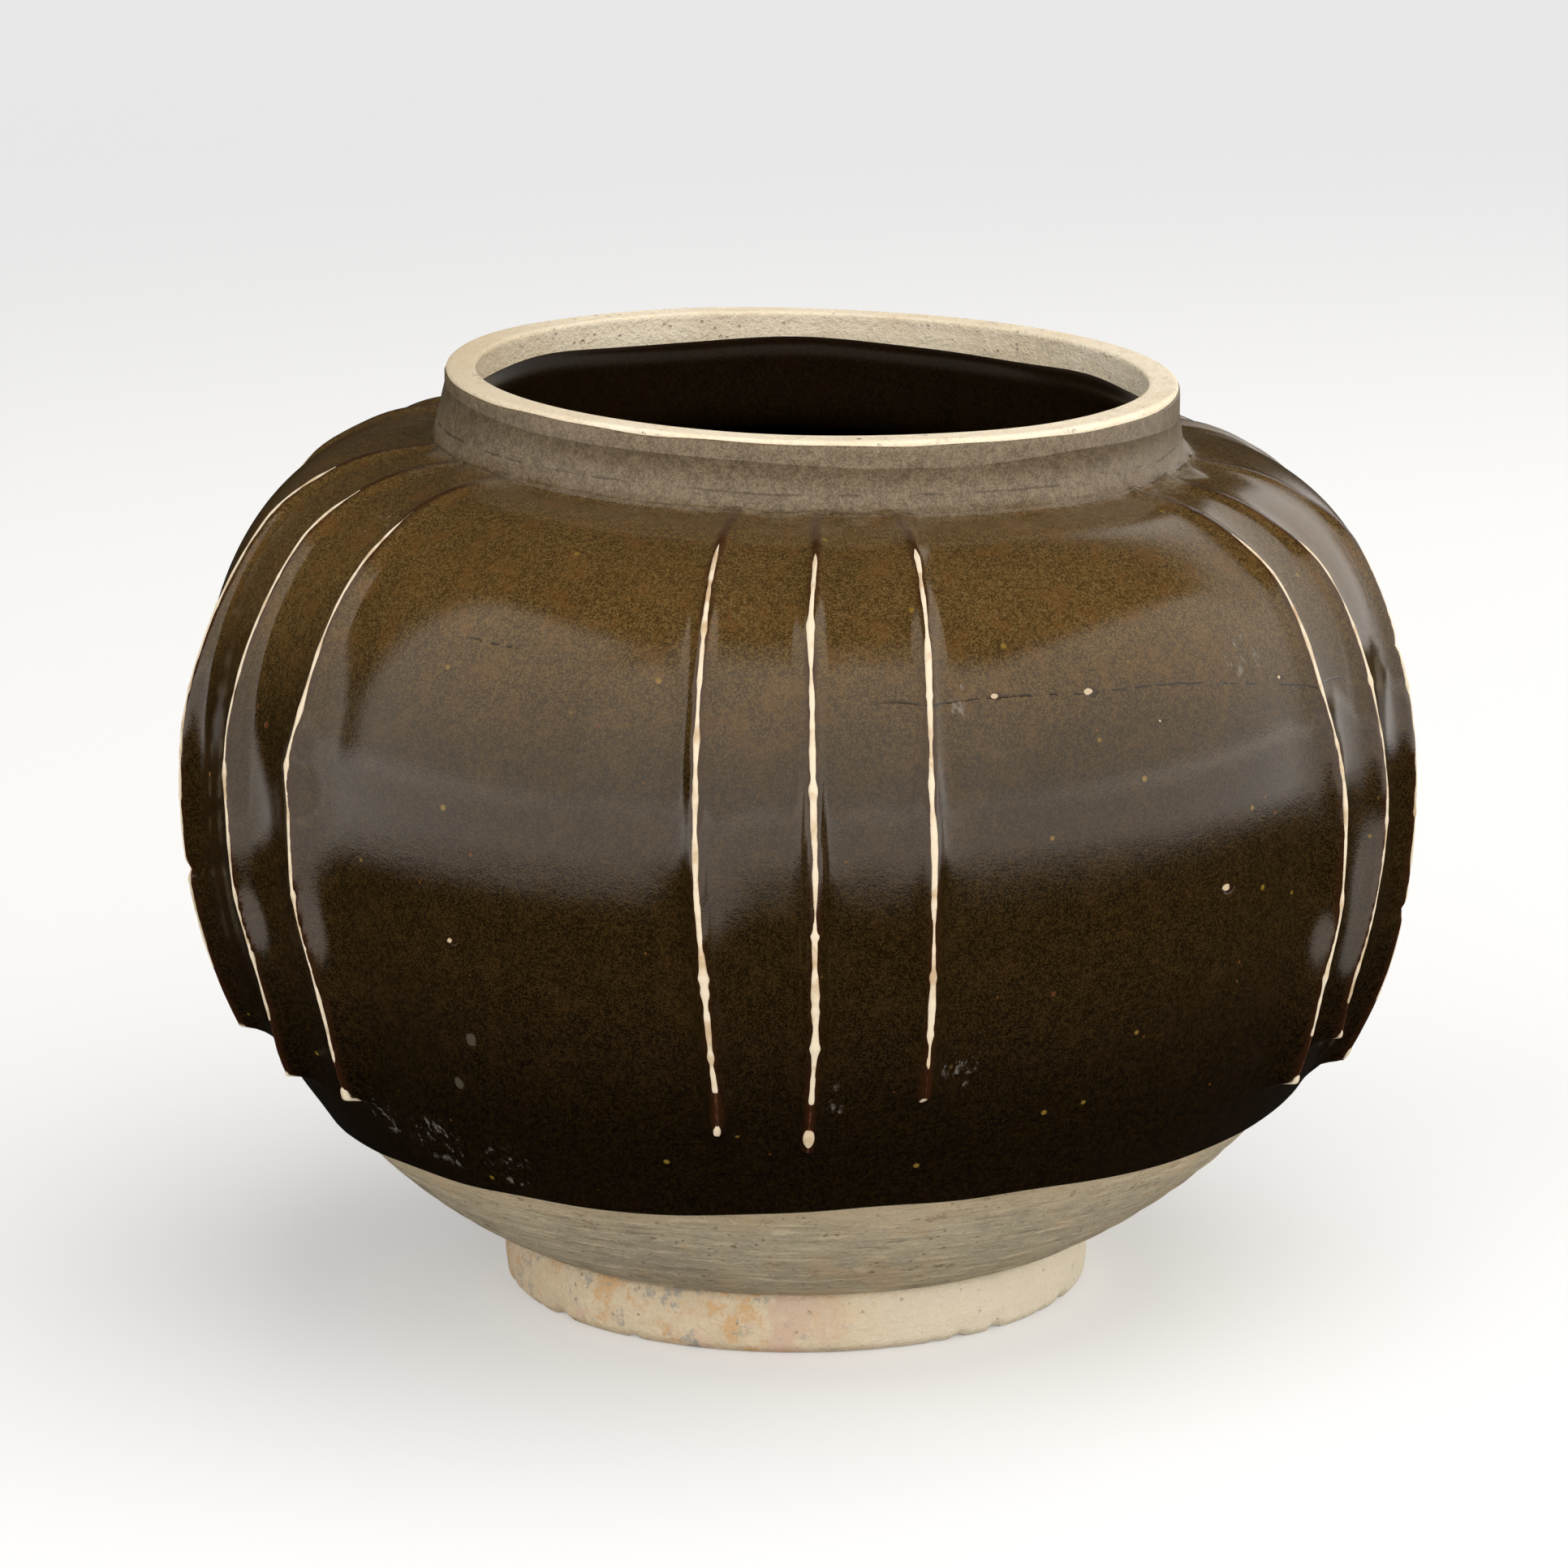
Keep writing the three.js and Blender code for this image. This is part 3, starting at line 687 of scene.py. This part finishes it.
def lip_clay():
    """The lip's clay: cream, with painted shade towards its left side and brown chips on its edges."""
    tones = [(0.9, 0.8, 0.62), (0.82, 0.69, 0.5), (0.42, 0.3, 0.18)]
    finish, base, rough = bare_clay("lip_clay", *tones, 0.2, 0.1)
    # Painted shade: the lip darker towards its left side
    base = finish.mix(finish.x.ramp(-0.02, -0.046) * 0.6, base, (0.55, 0.44, 0.28))
    for x, y, size in LIP_CHIPS:
        chip = finish.near((x * MM, y * MM, LIP_LEVEL * MM), size * MM, 0.0008)
        base = finish.mix(chip * 0.85, base, (0.085, 0.045, 0.022))
    return finish.paint(Base_Color=base, Roughness=rough)


def slip_line(name):
    """White slip along a rib's crest: cream, with rusty edges and glaze-brown breaks."""
    finish = Finish(name, IOR=1.45)
    bare = finish.attribute("bare")
    fleck = finish.noise(1300, 3, 0.6)
    cream = finish.mix(finish.noise(300, 3).ramp(0.45, 0.7), (0.71, 0.6, 0.44), (0.5, 0.35, 0.2))
    brown = finish.mix(fleck.ramp(0.45, 0.65), (0.035, 0.012, 0.006), (0.1, 0.036, 0.014))
    mask = (bare + (fleck - 0.5) * 0.8).ramp(0.3, 0.52)
    finish.bump(fleck + finish.noise(500, 3), 0.5, 0.0002)
    return finish.paint(Base_Color=finish.mix(mask, brown, cream), Roughness=0.3 + mask * 0.28)


def glaze_line(longitude):
    """Level of the glaze's lower edge round the jar: a rise to the right, a regular wave and small
    random ones."""
    rise = GLAZE_LINE_RISE * np.sin(longitude) + GLAZE_LINE_WAVE * np.sin(GLAZE_LINE_WAVES * longitude)
    return GLAZE_LINE_LEVEL + rise + waves(longitude * 6, [0.12, 0.1, 0.08, 0.05], 3)


# Webs between the ribs at the neck and notches on the ribs: width, depth, and place along the path
WEB_WIDTH = 0.27
WEB = 0.3
WEB_DOWN = 2.0
NOTCH_WIDTH = 1.5
NOTCH = 0.5
NOTCH_DOWN = 0.6
NOTCH_LENGTH = 1.2

# The fillet round the neck's foot and the roll over the lower edge
FILLET = 0.75
FILLET_UP = 0.6
FILLET_LENGTH = 2.2
ROLL = 0.22
ROLL_UP = 2.0
ROLL_LENGTH = 1.6

# The outer coat's edges: thickness, runs of rounding and of thin glaze, gap behind, margin above
EDGE_THICKNESS = 0.12
LOWER_EDGE_RUN = 1.1
UPPER_EDGE_RUN = 0.4
THIN_EDGE_RUN = 0.7
BACK_GAP = 0.1
TOP_MARGIN = 0.1

# The outer coat's thinning up the neck, and its turning marks
NECK_THINNING = 0.42
THINNING_RUN = 5
TURNING = 0.006
TURNING_LENGTH = 1.9

# Closer rows of the outer coat's mesh at its edges
LOWER_ROWS = np.array([0, 0.0012, 0.0035, 0.007, 0.012, 0.0185]) * 0.9
UPPER_ROWS = 1 - np.array([0.014, 0.007, 0.0032, 0.001, 0])


def neck_webs(longitude):
    """Two arrays round the jar: 1 midway between ribs, where the glaze hangs down from the neck, and 1
    on the ribs, where it leaves a hollow."""
    webs = 0 * longitude
    notches = 0 * longitude
    for middle, apart, _ in RIB_GROUPS:
        away = (np.degrees(longitude) - middle + 180) % 360 - 180
        for side in (-0.5, 0.5):
            webs += bell(away - side * apart, WEB_WIDTH * apart)
        for side in (-1, 0, 1):
            notches += bell(away - side * apart, NOTCH_WIDTH)
    return webs, notches


def glaze_surface(look):
    """The outer coat: the clay path moved out by the coat's thickness plus the relief, rounded at both
    edges, and closed behind by a sheet on the clay."""
    longitude = glazed_columns(620)[None, :]
    bottom = CLAY.length_at_level(glaze_line(longitude))
    top = PATH_TOP - TOP_MARGIN + waves(longitude * 5, [0.06, 0.08, 0.05, 0.06, 0.03], 4)
    share = np.linspace(0, 1, 142)[:, None]
    share[:len(LOWER_ROWS), 0] = LOWER_ROWS
    share[-len(UPPER_ROWS):, 0] = UPPER_ROWS
    along = bottom + (top - bottom) * share
    raised, crest = relief(along, longitude + 0 * along)
    webs, notches = neck_webs(longitude)
    fillet = (FILLET + WEB * webs) * bell(along - NECK_FOOT - FILLET_UP + WEB_DOWN * webs, FILLET_LENGTH)
    fillet -= NOTCH * notches * bell(along - NECK_FOOT + NOTCH_DOWN, NOTCH_LENGTH)
    roll = ROLL * bell(along - bottom - ROLL_UP, ROLL_LENGTH)
    turning = TURNING * np.sin(along / TURNING_LENGTH + waves(longitude, [1, 0.5], 6))
    turning += waves(longitude * 3, [0.04, 0.03], 8)
    neck = smooth((along - NECK_FOOT) / THINNING_RUN)
    coat = COAT - EDGE_THICKNESS - NECK_THINNING * neck + fillet + roll + turning
    lower_edge = rounded_edge(along - bottom, LOWER_EDGE_RUN)
    edge = lower_edge * rounded_edge(top - along, UPPER_EDGE_RUN)
    front = settled_path(along, longitude, EDGE_THICKNESS + coat * edge + raised * lower_edge)
    back_share = np.linspace(1, 0, 11)[1:-1, None]
    back_along = bottom + (top - bottom) * back_share
    back = settled_path(back_along, longitude, BACK_GAP)
    thin = np.concatenate([np.maximum(crest, 1 - smooth((along - bottom) / THIN_EDGE_RUN)),
                           0 * back_along + 0 * longitude])
    points = np.concatenate([front, back])
    return mesh_piece("glaze_coat", points, look, "dark_glaze", replaces=["outer_glaze"], thin=thin)


def settled_path(along, longitude, away):
    """Points on the clay path at these lengths and longitudes, moved away from the clay."""
    radius, level = CLAY.at(along, away)
    return settled(radius, longitude + 0 * radius, level)


# A white line's half width: the usual one, what the front ribs add, and waves and strays in it
LINE_HALF = 0.26
FRONT_RIBS = (4, 5, 6)
FRONT_ADDS = 0.09
LINE_WAVES = [(0.05, 3.1), (0.04, 1.1)]
LINE_STRAYS = [(0.07, 2), (0.2, 9)]
LINE_LEAST = 0.05

# Starts, drops and beads of the lines; the pairs are the limits of random draws
START_LEVELS = (99, 104)
START_RUN = 3
DROP_SIZES = (0.3, 0.55)
DROP_BELOW_END = 3.6
DROP_LENGTH = 1.9
BEAD_COUNT = 5
BEAD_LEVELS = (48, 98)
BEAD_SIZES = (0.06, 0.2)
BEAD_LENGTHS = (0.45, 0.8)

# The brown stretch above the drop, the tip below it, and the thin places of a line
TAIL_LENGTHS = (4, 9)
TAIL_RUN = 0.8
TAIL_THINNING = 0.45
TIP_LENGTH = 3.4
TIP_HALF = 0.17
TIP_RUN = 1.5
THIN_OVER = 0.45

# The line's oval: depth of its middle in the glaze, and height
OVAL_DEPTH = 0.1
OVAL_HEIGHT = 0.45
OVAL_BASE = 0.08


def slip_crest(rib, look):
    """A rib's white line: a low oval carried along the crest, its half width a sum of waves, strays and
    beads, then a brown stretch, a drop and a tip."""
    number = rib["number"]
    random = np.random.default_rng(100 + number)
    drop_level, drop = SEEN_DROPS.get(number, (None, random.uniform(*DROP_SIZES)))
    start_level = SEEN_STARTS.get(number, random.uniform(*START_LEVELS))
    drop_at = CLAY.length_at_level(drop_level) if drop_level else rib["end"] + DROP_BELOW_END
    start = min(rib["end"], drop_at - TIP_LENGTH)
    stop = CLAY.length_at_level(start_level)
    along = np.linspace(start, stop, 320)
    tail_end = drop_at + random.uniform(*TAIL_LENGTHS)
    width = LINE_HALF + (FRONT_ADDS if number in FRONT_RIBS else 0) + 0 * along
    for turn, (amount, length) in enumerate(LINE_WAVES, 1):
        width += amount * np.sin(along / length + turn * number)
    for amount, steps in LINE_STRAYS:
        width += Path.rounded(random.normal(0, amount, len(along)), steps)
    usual = [(level, random.uniform(*BEAD_SIZES)) for level in random.uniform(*BEAD_LEVELS, BEAD_COUNT)]
    beads = 0 * along
    for level, size in SEEN_BEADS.get(number, usual):
        bead = bell(along - CLAY.length_at_level(level), random.uniform(*BEAD_LENGTHS))
        width += size * bead
        beads = np.maximum(beads, bead)
    tail = (1 - smooth((along - tail_end) / TAIL_RUN)) * (1 - beads)
    width = width * (1 - TAIL_THINNING * tail) * smooth((stop - along) / START_RUN)
    oval = np.sqrt(np.clip(1 - ((along - drop_at) / (drop * DROP_LENGTH)) ** 2, 0, 1))
    tip = TIP_HALF * smooth((along - start) / TIP_RUN)
    width = np.maximum(np.where(along < drop_at, tip, width), drop * oval)
    thin_places = np.sin(along / 2.9 + 3 * number) * np.sin(along / 1.7 + number) - THIN_OVER
    bare = np.clip(1 - 0.8 * np.clip(thin_places, 0, 1) - tail, 0, 1) * (along > drop_at)
    bare = np.maximum(bare, smooth(oval * 2))
    angle = np.linspace(0, 2 * np.pi, 12, endpoint=False)[None, :]
    longitude = np.interp(along, CLAY.along, rib["track"])
    seat = COAT + relief(along, longitude)[0]
    half = np.maximum(width, LINE_LEAST)[:, None]
    away = seat[:, None] - OVAL_DEPTH + np.sin(angle) * (half * OVAL_HEIGHT + OVAL_BASE)
    radius, level = CLAY.at(along[:, None] + 0 * away, away)
    points = settled(radius, longitude[:, None] + np.cos(angle) * half / radius, level)
    return mesh_piece(f"slip_rib_{number:02d}", points, look, "slip", replaces=[f"rib_{number:02d}"],
                      poles=True, bare=bare[:, None] + 0 * away)


def turn_round(columns):
    """Evenly spaced longitudes round the jar, as one row."""
    return np.linspace(-np.pi, np.pi, columns, endpoint=False)[None, :]


def lathe_piece(name, path, look, slot, replaces, uneven, step):
    """A closed section turned round the jar, with its surface moved in and out by an uneven amount."""
    longitude = turn_round(420)
    along = np.linspace(0, path.along[-1], int(path.along[-1] / step), endpoint=False)[:, None]
    radius, level = path.at(along, uneven(along, longitude))
    points = settled(radius + 0 * longitude, longitude + 0 * radius, level + 0 * longitude)
    return mesh_piece(name, points, look, slot, replaces=replaces)


# Chips on the foot's lower edge: reach up and in, and share of the random waves
CHIP_TOP = 3.2
CHIP_RUN = 3.0
CHIP_INSIDE = 3
CHIP_INSIDE_RUN = 2
CHIP_FLOOR = 0.3
CHIP_SHARE = 0.7
EDGE_WEAR = 0.05
DENT_RUN = 2

# Turning ridges of the bare clay: height, length, waves round the jar and seed of each
TURNING_RIDGES = [(0.07, 0.62, 1, 31), (0.05, 0.31, 2, 32)]
RIDGES_BELOW = 5
RIDGES_RUN = 4


def foot_piece(look):
    """The foot ring: a section turned round the jar, its lower edge worn by the tops of random waves
    and its outside moved by slow ones."""
    rim = FOOT_RADIUS
    bore = rim - FOOT_WALL
    section = [
        (rim - FOOT_WALL / 2, 0), (rim - FOOT_EDGE, 0), (rim, FOOT_EDGE),
        (rim + FOOT_SWELL, FOOT_HEIGHT / 2), (rim, FOOT_HEIGHT - 0.2),
        (rim - 0.5, BODY_BASE + 0.15), (BODY_BASE_RADIUS - 2, BODY_BASE + 0.2),
        (bore, FOOT_HEIGHT), (bore, FOOT_EDGE),
        (bore + FOOT_EDGE, 0), (rim - FOOT_WALL / 2, 0),
    ]
    path = Path(section, rounding=0.25)

    def chips(along, longitude):
        """Chips and wear low down, and shallow dents further up."""
        radius, level = path.at(along)
        low = smooth((CHIP_TOP - level) / CHIP_RUN)
        low = low * smooth((radius - rim + CHIP_INSIDE) / CHIP_INSIDE_RUN)
        nicks = np.clip(waves(longitude * 3, [0.16] * 17, 21) - CHIP_FLOOR, 0, 1)
        dents = waves(longitude * 2, [0.07, 0.06, 0.05, 0.04, 0.03, 0.03, 0.02], 22)
        return -low * (nicks * CHIP_SHARE + EDGE_WEAR) + dents * smooth(level / DENT_RUN)

    return lathe_piece("turned_foot", path, look, "clay", ["foot_ring"], chips, step=0.35)


def body_piece(look):
    """The thrown body below the seam: the clay path outside, with turning ridges as sines along it, and
    the same path moved in by the wall inside."""
    seam = CLAY.length_at_level(SEAM_LEVEL - JOINT / 2)
    longitude = turn_round(360)
    along = np.linspace(0, seam, 170)[:, None]
    bare = 1 - smooth((CLAY.at(along)[1] - GLAZE_LINE_LEVEL + RIDGES_BELOW) / RIDGES_RUN)
    ridges = sum(height * np.sin(along / length + waves(longitude * turns, [0.9, 0.5], seed))
                 for height, length, turns, seed in TURNING_RIDGES)
    outside = settled_path(along + 0 * longitude, longitude, bare * ridges - 0.05)
    inner = np.linspace(seam, 0, 60)[:, None]
    inside = settled_path(inner + 0 * longitude, longitude, -WALL)
    points = np.concatenate([outside, inside])
    return mesh_piece("thrown_body", points, look, "clay", replaces=["lower_body"], poles=True)


def neck_piece(look):
    """The neck with its bare level lip: a rounded section turned round the jar, moved in and out by
    small waves."""
    bore = NECK_BORE_RADIUS
    base = SHOULDER_LEVEL + JOINT
    section = [
        (NECK_RADIUS - 1.5, base), (NECK_BASE_RADIUS - 0.3, base), (NECK_RADIUS, SHOULDER_LEVEL + 2.6),
        (NECK_RADIUS, LIP_LEVEL - 1.6), (LIP_RADIUS, LIP_LEVEL - 0.5),
        (LIP_RADIUS - 0.1, LIP_LEVEL - 0.15), (LIP_RADIUS - 0.35, LIP_LEVEL), (bore + 0.25, LIP_LEVEL),
        (bore, LIP_LEVEL - 0.25),
        (bore, base), (NECK_RADIUS - 1.5, base),
    ]
    path = Path(section, rounding=0.16)

    def uneven(along, longitude):
        """Waves round the neck and fine turning marks."""
        return waves(longitude * 2, [0.06, 0.05, 0.04, 0.03], 41) + 0.02 * np.sin(along / 0.5)

    return lathe_piece("neck_and_lip", path, look, "clay", ["neck_collar"], uneven, step=0.3)


# The inner coat: its start beside the axis, its gaps to the clay, and the runs of its edge
INNER_START = 0.5
INNER_EDGE_GAP = 0.08
INNER_BACK_GAP = 0.05
INNER_EDGE_RUN = 0.9
INNER_THIN_RUN = 1.4


def inner_coat(look):
    """The coat inside: the wall's inner line from the floor to the bare band, moved in by the coat's
    thickness, and closed behind by a sheet on the clay."""
    turn = np.linspace(-np.pi / 2, np.pi / 2, 700)
    wall = Path(np.stack(outline(turn), 1), rounding=0.4)
    radius, level = wall.at(wall.along, -WALL)
    clay = [
        (INNER_START, level[0]), *np.stack([radius, level], 1),
        (NECK_BORE_RADIUS, SHOULDER_LEVEL - WALL), (NECK_BORE_RADIUS, LIP_LEVEL - BARE_BORE_DEPTH),
    ]
    path = Path(clay, rounding=1.2)
    longitude = turn_round(320)
    ragged = waves(longitude * 2, [0.25, 0.2, 0.18, 0.12, 0.1, 0.08], 51)
    top = path.along[-1] + 0.1 + ragged
    share = np.linspace(0, 1, 120)[:, None]
    along = share * (top - INNER_START) + INNER_START
    edge = rounded_edge(top - along, INNER_EDGE_RUN)
    uneven = 0.06 * np.sin(along / 2.1 + waves(longitude, [0.9, 0.5], 52))
    beyond = np.maximum(along - path.along[-1], 0)
    front_radius, front_level = path.at(along, -INNER_EDGE_GAP - (COAT - 0.1 + uneven) * edge)
    back_along = np.linspace(1, 0, 24)[:, None] * (top - INNER_START) + INNER_START
    back_radius, back_level = path.at(back_along, -INNER_BACK_GAP)
    back_level = back_level + np.maximum(back_along - path.along[-1], 0)
    radius = np.concatenate([front_radius, back_radius])[::-1]
    level = np.concatenate([front_level + beyond, back_level])[::-1]
    points = settled(radius, longitude + 0 * radius, level)
    thin = np.concatenate([1 - smooth((top - along) / INNER_THIN_RUN), 0 * back_along])[::-1]
    return mesh_piece("inner_coat", points, look, "dark_glaze", replaces=["inner_glaze"], poles=True,
                      thin=thin + 0 * radius)


# Light and floor: colours, and distances from the jar in metres
WARM_WHITE = (1, 0.975, 0.94)
FLOOR_HALF = 20.0
FLOOR_PALE = (0.7, 0.7, 0.695)
FLOOR_GLOW = (0.3, 0.3, 0.302)
TABLE_DARK = (0.018, 0.016, 0.014)
# Glow of the floor seen only in reflections: painted light for the glaze's sheen
MIRRORED_GLOW = (1.65, 1.62, 1.58)

# In reflections the floor is dark up to this distance, as a table would be
TABLE_RADIUS = 0.366

# What the camera sees far off
PALE_DISTANCE = (0.8, 0.8, 0.805)


def aimed(name, data, place, direction):
    """A new object at a place that looks in a direction."""
    made = placed(name, data)
    made.location = place
    made.rotation_mode = "QUATERNION"
    made.rotation_quaternion = direction.to_track_quat("-Z", "Y")
    return made


def soft_panel(name, centre, target, width, height, radiance, mirrored=True):
    """A rectangular light of even brightness that faces a point. The camera never sees it, and the
    glaze mirrors it only where mirrored is true."""
    light = bpy.data.lights.new(name, "AREA")
    light.shape = "RECTANGLE"
    light.size = width
    light.size_y = height
    light.energy = radiance * math.pi * width * height
    light.color = WARM_WHITE
    holder = aimed(name, light, centre, Vector(target) - Vector(centre))
    holder.visible_camera = False
    holder.visible_glossy = mirrored


def pale_floor():
    """A wide floor, pale with the jar's shadow on it. The glaze mirrors it as a round dark table with
    a floor round its front that glows only in reflections, a painted light for the glaze's sheen."""
    corners = [(x * FLOOR_HALF, y * FLOOR_HALF, 0) for x, y in ((-1, -1), (1, -1), (1, 1), (-1, 1))]
    mesh = bpy.data.meshes.new("floor")
    mesh.from_pydata(corners, [], [(0, 1, 2, 3)])
    floor = placed("floor", mesh)
    paper = Finish("pale_floor", Roughness=0.9, Specular_IOR_Level=0.0, Emission_Strength=1.0)
    ray = paper.node("ShaderNodeLightPath", out="Is Camera Ray")
    mirrored = ray.output("Is Glossy Ray")
    away = paper.vector("LENGTH", paper.place, out="Value")
    lit = away.ramp(TABLE_RADIUS, TABLE_RADIUS + 0.006) * away.ramp(2.2, 2.0)
    lit = lit * (paper.y - paper.x.at_least(0.0) * 0.6).ramp(0.14, 0.06)
    far = away.ramp(0.45, 1.1)
    colour = paper.mix(mirrored, FLOOR_PALE, TABLE_DARK)
    colour = paper.mix(ray * far, colour, (0, 0, 0))
    glow = paper.mix(mirrored * lit, (0, 0, 0), MIRRORED_GLOW)
    glow = paper.mix(ray, glow, paper.mix(far, FLOOR_GLOW, PALE_DISTANCE))
    mesh.materials.append(paper.paint(Base_Color=colour, Emission_Color=glow))


def pale_world():
    """A pale background for the camera and a dim, even fill for everything else."""
    world = bpy.data.worlds.new("studio")
    world.use_nodes = True
    bpy.context.scene.world = world
    nodes = Nodes(world.node_tree)
    ray = nodes.node("ShaderNodeLightPath", out="Is Camera Ray")
    fill = nodes.mix(ray.output("Is Glossy Ray"), (0.09, 0.092, 0.095), (0.03, 0.028, 0.025))
    background = nodes.tree.nodes["Background"]
    nodes.feed(background.inputs["Color"], nodes.mix(ray, fill, PALE_DISTANCE))


def studio():
    """Soft light all round the front, as the glaze reflects it: tall panels in front and to both sides,
    one overhead, and low ones that stand for the light that a floor returns."""
    soft_panel("front", (0, -1.3, 0.75), (0, 0, 0.75), 2.4, 1.5, 1.0)
    soft_panel("front_tall", (0, -1.35, 1.04), (0, 0, 1.04), 2.5, 2.08, 0.6)
    soft_panel("left", (-1.278, -0.558, 0.925), (0, 0, 0.925), 1.225, 1.85, 1.45)
    soft_panel("right", (1.268, -0.285, 0.7), (0, 0, 0.7), 1.797, 1.4, 1.5)
    soft_panel("back_right", (0.861, 0.974, 0.6), (0, 0, 0.6), 1.296, 1.2, 1.0)
    soft_panel("low_front", (0, -1.285, 0.001), (0, -1.285, 1), 4.4, 1.83, 1.5, mirrored=False)
    soft_panel("low_left", (-1.285, -0.185, 0.001), (-1.285, -0.185, 1), 1.83, 0.37, 1.2, mirrored=False)
    soft_panel("low_right", (1.285, 0.0, 0.001), (1.285, 0.0, 1), 1.83, 0.74, 1.5, mirrored=False)
    soft_panel("overhead", (0.3, 0.0, 1.5), (0, 0, 0.1), 2.2, 1.4, 1.6, mirrored=False)


# The camera stands a metre from the jar and 13.5 degrees above level, as the photograph's did
CAMERA_DISTANCE = 1.0
SENSOR_WIDTH = 36
CAMERA_ELEVATION = 13.5
CAMERA_TARGET = (-1.6 * MM, 0, 65.4 * MM)
IMAGE_WIDTH = 1932
FOCAL_PIXELS = 9520


def photo_camera():
    """The camera: its target plus the distance along a line tilted up by the elevation."""
    camera = bpy.data.cameras.new("camera")
    camera.sensor_width = SENSOR_WIDTH
    camera.lens = FOCAL_PIXELS / IMAGE_WIDTH * SENSOR_WIDTH
    tilt = math.radians(CAMERA_ELEVATION)
    back = Vector((0, -math.cos(tilt), math.sin(tilt)))
    place = Vector(CAMERA_TARGET) + back * CAMERA_DISTANCE
    bpy.context.scene.camera = aimed("camera", camera, place, -back)


def dress_hidden_solid(name, look):
    """A solid that stays as it is, with this finish."""
    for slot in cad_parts[name].material_slots:
        slot.material = look


def build():
    """Sets up view and light, and makes every piece with its material."""
    photo_camera()
    pale_world()
    pale_floor()
    studio()
    body_look = body_clay()
    foot_piece(foot_clay())
    body_piece(body_look)
    dress_hidden_solid("shoulder", body_look)
    neck_piece(lip_clay())
    inner_coat(dark_glaze("inner_dark_glaze", False))
    glaze_surface(dark_glaze("speckled_dark_glaze", True))
    slip = slip_line("white_slip")
    for rib in RIBS:
        slip_crest(rib, slip)


build()

bpy.context.scene.view_settings.view_transform = "Standard"
